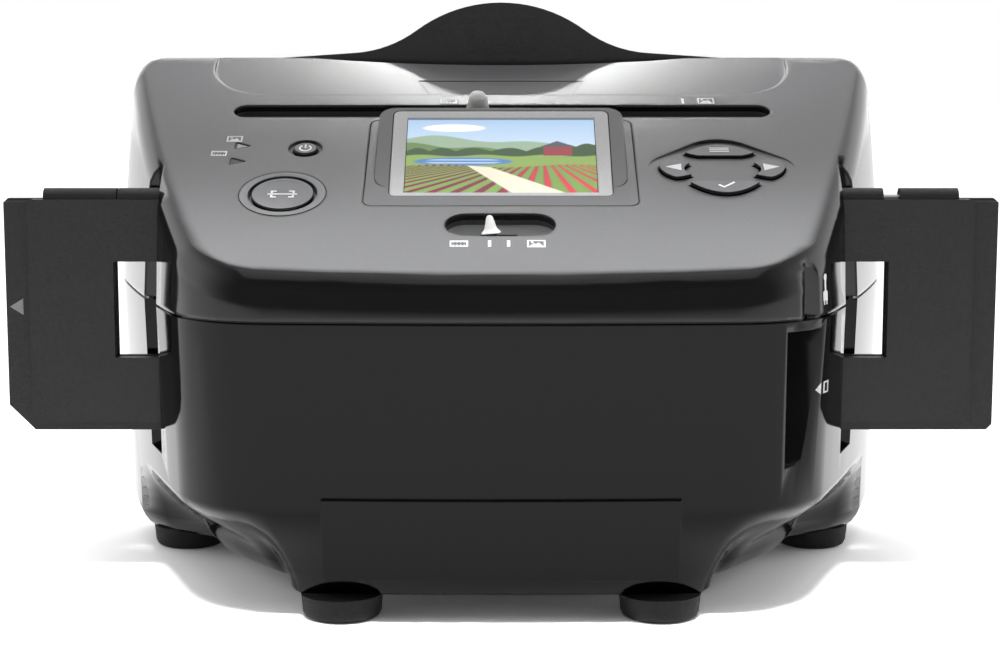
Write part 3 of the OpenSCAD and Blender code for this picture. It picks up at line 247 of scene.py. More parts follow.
def tapered(profile, power=2.6, sides=48):
    """Rings of a pointer about Z. A profile point (half width, half depth, z) becomes a superellipse:
    the cosine and the sine raised to 2 / power, which is squarer than an ellipse."""
    a = np.linspace(0, 2 * np.pi, sides, endpoint=False)
    c = np.sign(np.cos(a)) * np.abs(np.cos(a)) ** (2 / power)
    d = np.sign(np.sin(a)) * np.abs(np.sin(a)) ** (2 / power)
    w, h, z = np.asarray(profile, float).T
    return np.stack([w[:, None] * c, h[:, None] * d, z[:, None] + 0 * a], -1)


def prisms(outlines, low, high):
    """Vertices and faces of flat solids: every outline, anticlockwise, between two heights."""
    vertices, faces = [], []
    for outline in outlines:
        flat = np.asarray(outline, float)
        n, first = len(flat), sum(len(v) for v in vertices)
        vertices += [np.column_stack([flat, np.full(n, z)]) for z in (low, high)]
        i = np.arange(1, n + 1)
        faces += (first + np.stack([i % n, (i + 1) % n, n + (i + 1) % n, n + i % n], -1)).tolist()
        faces += [list(range(first + n - 1, first - 1, -1)), list(range(first + n, first + 2 * n))]
    return np.concatenate(vertices), faces


def bar(x0, y0, x1, y1):
    """A rectangle between two corners."""
    return [(x0, y0), (x1, y0), (x1, y1), (x0, y1)]


def stroke(p, q, width):
    """A straight line of some width from p to q."""
    p, q = np.asarray(p, float), np.asarray(q, float)
    side = np.array([p[1] - q[1], q[0] - p[0]]) / np.linalg.norm(q - p) * width / 2
    return [p - side, q - side, q + side, p + side]


def sector(centre, radii, degrees, steps=24):
    """A band of a circle between two radii and two angles."""
    a = np.radians(np.linspace(degrees[0], degrees[1], steps))
    rim = np.stack([np.cos(a), np.sin(a)], -1)
    return np.concatenate([rim * radii[1], rim[::-1] * radii[0]]) + np.asarray(centre)


def frame_lines(x0, y0, x1, y1, width):
    """The four sides of a rectangle, as lines of some width inside it."""
    return [bar(x0, y0, x1, y0 + width), bar(x0, y1 - width, x1, y1),
            bar(x0, y0 + width, x0 + width, y1 - width), bar(x1 - width, y0 + width, x1, y1 - width)]


def flowing_normals(mesh, limit):
    """Gives a faceted form the normals of the flowing one. A corner's normal is the sum of the
    normals of the faces round its vertex that lean less than limit from its own face, each weighted
    by the area of the flat that the face belongs to, so a flat stays flat up to its rounded edge."""
    faces, corners = len(mesh.polygons), len(mesh.loops)
    normal = np.empty(faces * 3)
    area = np.empty(faces)
    sides = np.empty(faces, int)
    vertex = np.empty(corners, int)
    edge = np.empty(corners, int)
    mesh.polygons.foreach_get("normal", normal)
    mesh.polygons.foreach_get("area", area)
    mesh.polygons.foreach_get("loop_total", sides)
    mesh.loops.foreach_get("vertex_index", vertex)
    mesh.loops.foreach_get("edge_index", edge)
    normal = normal.reshape(-1, 3)
    owner = np.repeat(np.arange(faces), sides)
    order = np.argsort(edge, kind="stable")
    pair = np.flatnonzero(edge[order][1:] == edge[order][:-1])
    one, two = owner[order[pair]], owner[order[pair + 1]]
    level = np.einsum("ij,ij->i", normal[one], normal[two]) > math.cos(math.radians(0.4))
    one, two = one[level], two[level]
    flat = np.arange(faces)
    for _ in range(400):
        least = np.minimum(flat[one], flat[two])
        before = flat.copy()
        np.minimum.at(flat, one, least)
        np.minimum.at(flat, two, least)
        if (flat == before).all():
            break
    weight = np.bincount(flat, area, faces)[flat]
    order = np.argsort(vertex, kind="stable")
    count = np.bincount(vertex)
    first = np.repeat(np.cumsum(count) - count, count)
    size = np.repeat(count, count)
    a = np.repeat(np.arange(corners), size)
    b = np.repeat(first, size) + np.arange(len(a)) - np.repeat(np.cumsum(size) - size, size)
    mine, other = owner[order[a]], owner[order[b]]
    near = np.einsum("ij,ij->i", normal[mine], normal[other]) > math.cos(limit)
    corner, other = order[a[near]], other[near]
    total = np.stack([np.bincount(corner, weight[other] * normal[other, axis], corners)
                      for axis in range(3)], -1)
    total /= np.maximum(np.linalg.norm(total, axis=1, keepdims=True), 1e-12)
    mesh.shade_smooth()
    mesh.normals_split_custom_set(total.tolist())


def mesh_object(name, vertices, faces, material, body, limit=math.radians(40)):
    """One piece from vertices in millimetres and faces, with its finish, body and slot."""
    mesh = bpy.data.meshes.new(name)
    mesh.from_pydata((np.asarray(vertices).reshape(-1, 3) * MM).tolist(), [], faces)
    mesh.validate()
    mesh.update()
    if limit:
        flowing_normals(mesh, limit)
    piece = bpy.data.objects.new(name, mesh)
    bpy.context.scene.collection.objects.link(piece)
    mesh.materials.append(material)
    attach(piece, body)
    return piece


def body_of(node):
    """Name of the body that a construction node rides on."""
    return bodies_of(frame["nodes"][node])[0]


# ---- Materials ----

def new_material(name):
    """An empty node material with its shader and output."""
    material = bpy.data.materials.new(name)
    material.use_nodes = True
    tree = material.node_tree
    tree.nodes.clear()
    shader = add(tree, "ShaderNodeBsdfPrincipled")
    add(tree, "ShaderNodeOutputMaterial", {"Surface": shader.outputs[0]})
    return material, tree, shader


def grain(tree, size_mm, detail=2.0, stretch=(1, 1, 1)):
    """Noise whose lumps are about size_mm across, on Object coordinates."""
    where = add(tree, "ShaderNodeTexCoord")
    mapped = add(tree, "ShaderNodeMapping", {"Vector": where.outputs["Object"], "Scale": stretch})
    return add(tree, "ShaderNodeTexNoise", {"Vector": mapped.outputs[0], "Scale": 1 / (size_mm * MM),
                                            "Detail": detail, "Roughness": 0.55})


def roughen(tree, shader, noise, height_mm, low, high, edge_mm=0.0):
    """Lets a noise raise the surface by height_mm and move its roughness between low and high. Edges
    are rounded by edge_mm for the light alone."""
    bump = add(tree, "ShaderNodeBump", {"Height": noise.outputs[0], "Distance": height_mm * MM,
                                        "Strength": 1.0})
    if edge_mm:
        edge = add(tree, "ShaderNodeBevel", {"Radius": edge_mm * MM}, samples=6)
        tree.links.new(edge.outputs[0], bump.inputs["Normal"])
    tree.links.new(bump.outputs[0], shader.inputs["Normal"])
    spread = add(tree, "ShaderNodeMapRange", {"Value": noise.outputs[0], "From Min": 0.3, "From Max": 0.7,
                                              "To Min": low, "To Max": high})
    tree.links.new(spread.outputs[0], shader.inputs["Roughness"])


def speckle(tree, shader, colour, size_mm, share):
    """Varies a colour a little in lumps of size_mm: share is how much darker the darkest is."""
    noise = grain(tree, size_mm, 3.0)
    ramp = add(tree, "ShaderNodeValToRGB", {"Fac": noise.outputs[0]})
    ramp.color_ramp.elements[0].position = 0.3
    ramp.color_ramp.elements[0].color = tuple(c * (1 - share) for c in linear(colour)[:3]) + (1.0,)
    ramp.color_ramp.elements[1].position = 0.7
    ramp.color_ramp.elements[1].color = linear(colour)
    tree.links.new(ramp.outputs[0], shader.inputs["Base Color"])


def plastic(name, colour, grain_mm, height_mm, rough, share=0.06, edge_mm=0.0):
    """Moulded plastic: a faintly uneven colour, and a texture of grain_mm as its mould left it."""
    material, tree, shader = new_material(name)
    speckle(tree, shader, colour, 9.0, share)
    roughen(tree, shader, grain(tree, grain_mm), height_mm, rough[0], rough[1], edge_mm)
    return material


def gloss(material, ior):
    """Sets how strongly a finish mirrors its surroundings."""
    material.node_tree.nodes["Principled BSDF"].inputs["IOR"].default_value = ior
    return material


def metal(name, colour, rough):
    """Bare metal with fine marks from its rolling or turning."""
    material, tree, shader = new_material(name)
    speckle(tree, shader, colour, 4.0, 0.1)
    shader.inputs["Metallic"].default_value = 1.0
    roughen(tree, shader, grain(tree, 0.5, stretch=(0.1, 1, 1)), 0.002, rough[0], rough[1])
    return material


def grey_top_and_painted_shade(name, colour, across, edge_mm):
    """Piano-black ABS that turns satin grey where the surface faces up: partly the grey top's two-tone
    paint, partly painted shade that leaves walls, hole sides and the lower part of rounded edges black.
    The grey fades out between the two values of across, which compare the surface's direction with
    straight up for 1 and level for 0."""
    material, tree, shader = new_material(name)
    facing = add(tree, "ShaderNodeNewGeometry")
    height = add(tree, "ShaderNodeSeparateXYZ", {"Vector": facing.outputs["Normal"]})
    # Grey where the surface faces up, black where it leans away: partly two-tone paint, partly painted shade
    # on walls and rounded edges
    top_and_shade_mask = add(tree, "ShaderNodeMapRange", {"Value": height.outputs["Z"], "From Min": across[0],
                                            "From Max": across[1]}, interpolation_type="SMOOTHSTEP")
    fleck = grain(tree, 0.25, 2.0)
    grey = add(tree, "ShaderNodeValToRGB", {"Fac": fleck.outputs[0]})
    grey.color_ramp.elements[0].position = 0.25
    grey.color_ramp.elements[0].color = tuple(c * 0.86 for c in linear(colour)[:3]) + (1.0,)
    grey.color_ramp.elements[1].position = 0.75
    grey.color_ramp.elements[1].color = linear(colour)
    grey_top_and_shade = add(tree, "ShaderNodeMixRGB", {"Fac": top_and_shade_mask.outputs[0], "Color1": linear("#0a0a0b"),
                                          "Color2": grey.outputs[0]})
    tree.links.new(grey_top_and_shade.outputs[0], shader.inputs["Base Color"])
    rough = add(tree, "ShaderNodeMapRange", {"Value": top_and_shade_mask.outputs[0], "To Min": 0.10, "To Max": 0.26})
    tree.links.new(rough.outputs[0], shader.inputs["Roughness"])
    edge = add(tree, "ShaderNodeBevel", {"Radius": edge_mm * MM}, samples=6)
    bump = add(tree, "ShaderNodeBump", {"Height": fleck.outputs[0], "Distance": 0.0015 * MM,
                                        "Strength": 1.0, "Normal": edge.outputs[0]})
    tree.links.new(bump.outputs[0], shader.inputs["Normal"])
    return material


def screen_picture(name):
    """The lit picture of the screen: its colours lie in an attribute of the mesh, behind clear glass."""
    material, tree, shader = new_material(name)
    colours = add(tree, "ShaderNodeVertexColor", layer_name="picture")
    tree.links.new(colours.outputs[0], shader.inputs["Base Color"])
    tree.links.new(colours.outputs[0], shader.inputs["Emission Color"])
    shader.inputs["Emission Strength"].default_value = 0.55
    shader.inputs["Roughness"].default_value = 0.12
    return material


def make_materials():
    """Every finish by its record slot."""
    return {
        # Black ABS, satin grey on its sloped top: partly its two-tone paint, partly painted shade, as the
        # grey turns black down the rounded edges and hole walls; soft, wide highlights there
        "housing_grey": grey_top_and_painted_shade("satin grey top with painted shade on black ABS", "#68686a", (0.66, 0.885), 1.2),
        # The same on the small separate parts of the panel, whose walls are black: black plastic, and painted
        # shade where they face away from up
        "button": grey_top_and_painted_shade("satin grey key tops with painted shade on black keys", "#707072", (0.70, 0.84), 0.15),
        "ring": grey_top_and_painted_shade("satin grey ring top with painted shade", "#747476", (0.45, 0.80), 0.15),
        "pod": grey_top_and_painted_shade("satin grey pod top with painted shade", "#646466", (0.35, 0.80), 0.3),
        # Mirror-polished black ABS: near-black, with clear reflections
        "housing_black": gloss(plastic("piano black ABS", "#060607", 1.6, 0.002, (0.06, 0.10), 0.02, 0.4),
                               1.3),
        # Spark-eroded black ABS: the fine pebbles of the mould break up its highlights
        "holder_black": plastic("pebbled black ABS", "#1b1b1c", 0.75, 0.05, (0.42, 0.60)),
        "base": plastic("textured black ABS", "#141415", 0.5, 0.03, (0.45, 0.60)),
        "inner_black": plastic("black ABS, as moulded", "#101011", 0.4, 0.01, (0.35, 0.50)),
        # The sliders' troughs are black plastic, painted dark grey: painted light that lifts the shade deep
        # in the troughs
        "liner": plastic("black ABS lightened by painted light in the troughs", "#525253", 0.4, 0.01, (0.40, 0.55)),
        # Moulded rubber: dull, a little dusty
        "rubber": plastic("moulded rubber", "#0b0b0b", 0.6, 0.02, (0.70, 0.85), 0.15),
        # Light grey ABS with a satin mould face
        "bezel": plastic("light grey satin ABS", "#b9b9ba", 0.4, 0.003, (0.25, 0.35), 0.03),
        "lever": plastic("white ABS", "#e2e2df", 0.4, 0.004, (0.28, 0.38), 0.03),
        "light_panel": plastic("opal diffuser sheet", "#efeee8", 0.6, 0.01, (0.45, 0.60), 0.03),
        "smoked_window": plastic("smoked clear ABS", "#0a0a0b", 1.5, 0.001, (0.04, 0.07), 0.02),
        "chips": plastic("epoxy chip housing", "#131314", 0.3, 0.01, (0.45, 0.60)),
        "board": plastic("green solder mask", "#0c4a28", 0.8, 0.004, (0.30, 0.45), 0.2),
        "steel": metal("brushed steel", "#b4b6ba", (0.25, 0.40)),
        "lens": plastic("coated lens glass", "#0a1020", 2.0, 0.0005, (0.02, 0.04)),
        "screen": screen_picture("lit liquid crystal screen"),
        # Screen-printed white ink, slightly raised
        "print": plastic("white screen print", "#e6e6e6", 0.3, 0.002, (0.40, 0.55), 0.03),
        "print_grey": plastic("grey screen print", "#a9a9aa", 0.3, 0.002, (0.40, 0.55), 0.05),
    }


materials = {}


# ---- Settings ----

class ScannerStudio(bpy.types.PropertyGroup):
    """The camera and the light of the studio."""
    camera_y: bpy.props.FloatProperty(name="Camera distance", subtype="DISTANCE", unit="LENGTH",
                                      default=0.568,
                                      description="How far the camera stands in front of the object's middle")
    camera_z: bpy.props.FloatProperty(name="Camera height", subtype="DISTANCE", unit="LENGTH", default=0.144,
                                      description="Height of the camera over the table")
    camera_pitch: bpy.props.FloatProperty(name="Camera pitch", subtype="ANGLE", unit="ROTATION",
                                          default=math.radians(8.0),
                                          description="How far the camera looks down")
    focal_length: bpy.props.FloatProperty(name="Focal length", default=75.6, min=20, max=200,
                                          description="In millimetres, on a sensor 36 mm wide")
    floor_colour: bpy.props.FloatVectorProperty(name="Floor", subtype="COLOR", size=4, min=0, max=1,
                                                default=linear("#f2f2f2"), description="Colour of the floor")
    fill_power: bpy.props.FloatProperty(name="Front softbox", default=0.9, min=0, max=20,
                                        description="Power of the softbox over the camera, in watts")
    front_power: bpy.props.FloatProperty(name="Front strip", default=0.06, min=0, max=20,
                                         description="Power of the lamp over the panel's front, in watts")
    rear_power: bpy.props.FloatProperty(name="Rear strip", default=0.042, min=0, max=20,
                                        description="Power of the lamp behind the crest, in watts")
    lamp_power: bpy.props.FloatProperty(name="Lamp power", default=4.0, min=0, max=200,
                                        description="Power of the overhead softbox, in watts")


class ScannerDress(bpy.types.PropertyGroup):
    """Sizes of the finish that a user would change."""
    edge_round: bpy.props.FloatProperty(name="Edge rounding", default=1.0, min=0.2, max=2.0,
                                        description="Share of the usual width of the broken edges")
    dish: bpy.props.FloatProperty(name="Scan button dish", subtype="DISTANCE", unit="LENGTH",
                                  default=0.35 * MM, min=0, max=1 * MM,
                                  description="How far the scan button's face is hollowed")
    ink: bpy.props.FloatProperty(name="Ink", subtype="DISTANCE", unit="LENGTH", default=0.04 * MM,
                                 min=0.01 * MM, max=0.2 * MM, description="Thickness of the printed signs")
    emboss: bpy.props.FloatProperty(name="Moulded sign", subtype="DISTANCE", unit="LENGTH",
                                    default=0.22 * MM, min=0.05 * MM, max=0.5 * MM,
                                    description="How far the sign on the tray's grip stands out")


# ---- Construction pieces that keep their form ----

# Width of the broken edges in millimetres. Those with none get their edges from their finish
BROKEN_EDGES = {
    "upper_shell": 0, "lower_shell": 0, "base_plate": 0, "feet": 0, "base_screws": 0,
    "screen_pod": 0.35, "screen_bezel": 0.3, "light_slot_liner": 0, "focus_slot_liner": 0,
    "film_tray": 0.35, "film_cover": 0.35, "film_hinge_pin": 0, "photo_tray": 0.5,
    "power_button": 0.15, "mode_button": 0.3, "enter_button": 0.3, "left_button": 0.3,
    "right_button": 0.3, "light_carriage": 0.3, "film_guide": 0.3, "photo_guides": 0.3,
    "camera_housing": 0.4, "camera_bracket": 0.4, "focus_ring": 0.3, "lens_barrel": 0.2,
    "lens_glass": 0, "light_rail": 0,
}


class OBJECT_OT_scanner_finish_nodes(bpy.types.Operator):
    """Gives every construction node its finish, and the moulded ones a copy with flowing surfaces
    and broken edges"""
    bl_idname = "scanner.finish_nodes"
    bl_label = "Finish the construction's nodes"

    def execute(self, context):
        share = context.scene.scanner_dress.edge_round * MM
        slots = {s["node"]: s["material_slot"] for s in frame["record"]["subparts"]}
        for name, node in frame["nodes"].items():
            node.data.materials.clear()
            finish = "liner" if name.endswith("_liner") else slots[name]
            node.data.materials.append(materials[finish])
            if name in BROKEN_EDGES:
                self.copy_with_edges(name, node, slots[name], BROKEN_EDGES[name] * share)
        return {"FINISHED"}

    def copy_with_edges(self, name, node, slot, width):
        """A merged copy whose flats are joined again and whose sharp edges are broken."""
        mesh = node.data.copy()
        piece = bpy.data.objects.new(name + "_moulding", mesh)
        bpy.context.scene.collection.objects.link(piece)
        work = bmesh.new()
        work.from_mesh(mesh)
        bmesh.ops.remove_doubles(work, verts=work.verts, dist=0.002 * MM)
        bmesh.ops.dissolve_limit(work, angle_limit=math.radians(0.3), verts=work.verts, edges=work.edges)
        if width:
            sharp = [e for e in work.edges if e.is_manifold and e.calc_face_angle(0) > math.radians(38)]
            bmesh.ops.bevel(work, geom=sharp, offset=width, offset_type="OFFSET", segments=2, profile=0.5,
                            affect="EDGES", clamp_overlap=True)
        work.to_mesh(mesh)
        work.free()
        if name in ("lower_shell", "base_plate"):
            drawn_in(mesh)
        flowing_normals(mesh, math.radians(60 if name.endswith("_shell") else 44))
        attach(piece, body_of(name))
        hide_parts(name)


# ---- Screen ----

PICTURE_COLUMNS = 240
PICTURE_ROWS = 150


def picture_colours(u, v):
    """Colours of a made-up garden view at u across and v up, both from 0 to 1: a pale sky, hills
    whose ridges are sums of sines, a dark hedge of round crowns, a pond, and beds in maroon and
    red rows that widen towards the viewer."""
    def paint(base, colour, top_and_shade_mask):
        return base * (1 - top_and_shade_mask[..., None]) + np.array(linear(colour)[:3]) * top_and_shade_mask[..., None]

    def soft(t):
        return smooth(t / 0.012 + 0.5)

    picture = paint(np.array(linear("#dfe9f2")[:3]), "#9db9d6", v)
    ridge = 0.70 + 0.05 * np.sin(5.1 * u + 0.6) + 0.03 * np.sin(11.7 * u)
    picture = paint(picture, "#8ea58c", soft(ridge - v))
    ridge = 0.62 + 0.05 * np.sin(3.7 * u + 2.2) + 0.02 * np.sin(17.0 * u + 1)
    picture = paint(picture, "#5d7a45", soft(ridge - v))
    crowns = 0.56 + 0.045 * np.abs(np.sin(21 * u + 0.8 * np.sin(7 * u))) + 0.06 * smooth((u - 0.62) / 0.3)
    picture = paint(picture, "#2f4a26", soft(crowns - v))
    picture = paint(picture, "#7f9a4e", soft(0.50 + 0.012 * np.sin(19 * u) - v))
    pond = 1 - ((u - 0.30) / 0.26) ** 2 - ((v - 0.42) / 0.055) ** 2
    picture = paint(picture, "#4d78ac", soft(pond * 0.05))
    picture = paint(picture, "#cfe0ee", soft(pond * 0.05 - 0.02) * smooth(np.sin(160 * v) * 2) * 0.5)
    depth = np.clip(0.36 - v, 0, 1)
    row = np.sin((u - 0.72) / (0.16 + depth) * 26)
    bed = soft(0.36 + 0.02 * np.sin(9 * u) - v)
    picture = paint(picture, "#6f8b45", bed)
    picture = paint(picture, "#6b2436", bed * smooth(row * 3) * smooth((0.9 - u) / 0.3))
    picture = paint(picture, "#b8323f", bed * smooth(row * 3 - 1) * smooth((u - 0.45) / 0.25))
    path = 1 - ((u - 0.52 + 0.9 * (v - 0.2)) / (0.05 + 0.25 * depth)) ** 2
    picture = paint(picture, "#d8cdb8", soft(path * 0.05) * bed)
    house = (np.abs(u - 0.80) < 0.075) * (v > 0.5) * (v < 0.62)
    picture = paint(picture, "#8c2f3a", house.astype(float))
    roof = (v >= 0.62) * (v < 0.70 - np.abs(u - 0.80) * 0.85)
    picture = paint(picture, "#4a4b55", roof.astype(float))
    clouds = 1 - ((u - 0.25) / 0.16) ** 2 - ((v - 0.88) / 0.05) ** 2
    picture = paint(picture, "#ffffff", soft(clouds * 0.02) * 0.8)
    return picture


class OBJECT_OT_scanner_picture(bpy.types.Operator):
    """Lays the lit picture on the screen's glass"""
    bl_idname = "scanner.picture"
    bl_label = "Make the screen's picture"

    def execute(self, context):
        u, v = np.meshgrid(np.linspace(0, 1, PICTURE_COLUMNS), np.linspace(0, 1, PICTURE_ROWS))
        flat = np.stack([(u - 0.5) * (PICTURE_W - PICTURE_GAP),
                         PICTURE_MID + (v - 0.5) * (PICTURE_L - PICTURE_GAP),
                         np.full_like(u, -PICTURE_DEPTH)], -1)
        piece = mesh_object("screen_picture", on_pod(flat), grid_faces(PICTURE_ROWS, PICTURE_COLUMNS),
                            materials["screen"], HOUSING, limit=0)
        colours = np.ones((*u.shape, 4))
        colours[..., :3] = picture_colours(u, v)
        layer = piece.data.color_attributes.new("picture", "FLOAT_COLOR", "POINT")
        layer.data.foreach_set("color", np.clip(colours, 0, 1).ravel())
        wall = piece.modifiers.new("thickness of the glass", "SOLIDIFY")
        wall.thickness = GLASS * MM
        wall.offset = -1
        return {"FINISHED"}


# ---- Round button and its ring ----

class OBJECT_OT_scanner_scan_button(bpy.types.Operator):
    """Makes the dished scan button and the crowned ring around it"""
    bl_idname = "scanner.scan_button"
    bl_label = "Make the scan button"

    def execute(self, context):
        """The face is a shallow dish, a curve turned about the button's axis. The ring is a band
        with a crowned top, turned about the same axis."""
        dish = context.scene.scanner_dress.dish / MM
        r = SCAN_R
        face = curve([(r, -0.25), (r - 0.12, 0.02), (r - 0.45, 0.17), (r - 0.95, 0.17), (r - 2.2, -0.02),
                      (r - 4.5, 0.10 - 0.8 * dish), (0.4, 0.18 - dish)], 6)
        flange = [(0.4, -2.6), (SCAN_FLANGE_R, -2.6), (SCAN_FLANGE_R, -2.1), (r, -2.1)]
        profile = np.concatenate([flange, face])
        vertices, faces = lofted(turned(profile))
        button = mesh_object("scan_button_cap", on_panel(vertices, *SCAN_AT), faces, materials["button"],
                             body_of("scan_button"))
        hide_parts("scan_button")
        crown = curve([(SCAN_RING_R, -0.3), (SCAN_RING_R - 0.1, 0.0), (SCAN_RING_R - 0.5, 0.18),
                       (SCAN_RING_R - 1.2, 0.2), (SCAN_HOLE_R + 0.5, 0.12), (SCAN_HOLE_R + 0.12, -0.05),
                       (SCAN_HOLE_R, -0.3)], 5)
        profile = np.concatenate([[(SCAN_RING_R, -0.8)], crown, [(SCAN_HOLE_R, -0.8)]])
        ring = turned(profile)
        piece = mesh_object("scan_ring_band", on_panel(ring, *SCAN_AT),
                            grid_faces(len(profile), ring.shape[1], around=True, looped=True),
                            materials["ring"], HOUSING)
        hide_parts("scan_ring")
        return {"FINISHED"}


# ---- Levers ----

class OBJECT_OT_scanner_levers(bpy.types.Operator):
    """Makes the two pale pointers of the sliders"""
    bl_idname = "scanner.levers"
    bl_label = "Make the levers' tips"

    def execute(self, context):
        """Each is a stack of superellipses whose half width and half depth follow a curve over the
        height: a blunt dome for the light lever, a thin tip on a flared foot for the focus lever."""
        stem = [(2, 1, -20), (2, 1, -2.02)]
        dome = curve([(3.5, 2.2, -2), (3.4, 2.2, 0), (2.95, 2.1, 1.8), (2.6, 1.95, 3.4), (2.3, 1.8, 4.8),
                      (1.55, 1.3, 5.7), (0.7, 0.6, 6.0), (0.1, 0.1, 6.05)], 5)
        vertices, faces = lofted(tapered(np.concatenate([stem, dome]), 2.4))
        tip = mesh_object("light_lever_tip", on_panel(vertices, LIGHT_LEVER_X, LIGHT_SLOT_Y), faces,
                          materials["lever"], body_of("light_lever"))
        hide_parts("light_lever")
        flare = curve([(2.5, 2.4, 0), (2.3, 2.2, 0.35), (1.85, 1.8, 0.8), (1.5, 1.5, 1.5), (1.25, 1.25, 2.5),
                       (1.0, 1.05, 3.5), (0.78, 0.9, 4.1), (0.42, 0.5, 4.5), (0.08, 0.1, 4.6)], 5)
        vertices, faces = lofted(tapered(flare, 2.2))
        reach = top_z(FOCUS_SLOT_Y) - AXIS_Z
        angle = math.asin(FOCUS_LEVER_X / reach)
        x, y, z = (vertices + np.array([0, 0, reach - 2])).T
        swung = np.stack([x * math.cos(angle) + z * math.sin(angle), y + FOCUS_SLOT_Y,
                          AXIS_Z + z * math.cos(angle) - x * math.sin(angle)], -1)
        tip = mesh_object("focus_lever_tip", swung, faces, materials["lever"], body_of("focus_lever"))
        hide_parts("focus_lever")
        return {"FINISHED"}


# ---- Signs ----

def film_sign(x, y, w):
    """A strip of film seen flat: a frame with a row of holes along both edges, w wide."""
    h = 0.62 * w
    lines = frame_lines(x - w / 2, y - h / 2, x + w / 2, y + h / 2, 0.09 * w)
    step = w / 5
    for i in range(4):
        for side in (-1, 1):
            mid = (x + (i - 1.5) * step, y + side * h * 0.29)
            lines.append(bar(mid[0] - 0.05 * w, mid[1] - 0.05 * w, mid[0] + 0.05 * w, mid[1] + 0.05 * w))
    return lines


def photo_sign(x, y, w):
    """A picture seen flat: a frame with a hill and a round sun in it, w wide."""
    h = 0.72 * w
    hill = [(x - 0.36 * w, y - 0.24 * w), (x + 0.36 * w, y - 0.24 * w), (x + 0.12 * w, y + 0.10 * w),
            (x - 0.02 * w, y - 0.06 * w), (x - 0.12 * w, y + 0.02 * w)]
    return frame_lines(x - w / 2, y - h / 2, x + w / 2, y + h / 2, 0.09 * w) + [
        hill, sector((x - 0.22 * w, y + 0.15 * w), (0.001, 0.07 * w), (0, 359), 16)]


def scan_sign(w):
    """Four corners of a frame and a line across it, w wide."""
    h, t = 0.56 * w, 0.09 * w
    lines = [bar(-0.62 * w, -t / 2, 0.62 * w, t / 2)]
    for i in (-1, 1):
        for j in (-1, 1):
            x, y = sorted([i * w / 2, i * (w / 2 - 0.24 * w)]), sorted([j * h / 2, j * (h / 2 - t)])
            lines.append(bar(x[0], y[0], x[1], y[1]))
            x, y = sorted([i * w / 2, i * (w / 2 - t)]), sorted([j * (h / 2 - t), j * (h / 2 - 0.2 * w)])
            lines.append(bar(x[0], y[0], x[1], y[1]))
    return lines


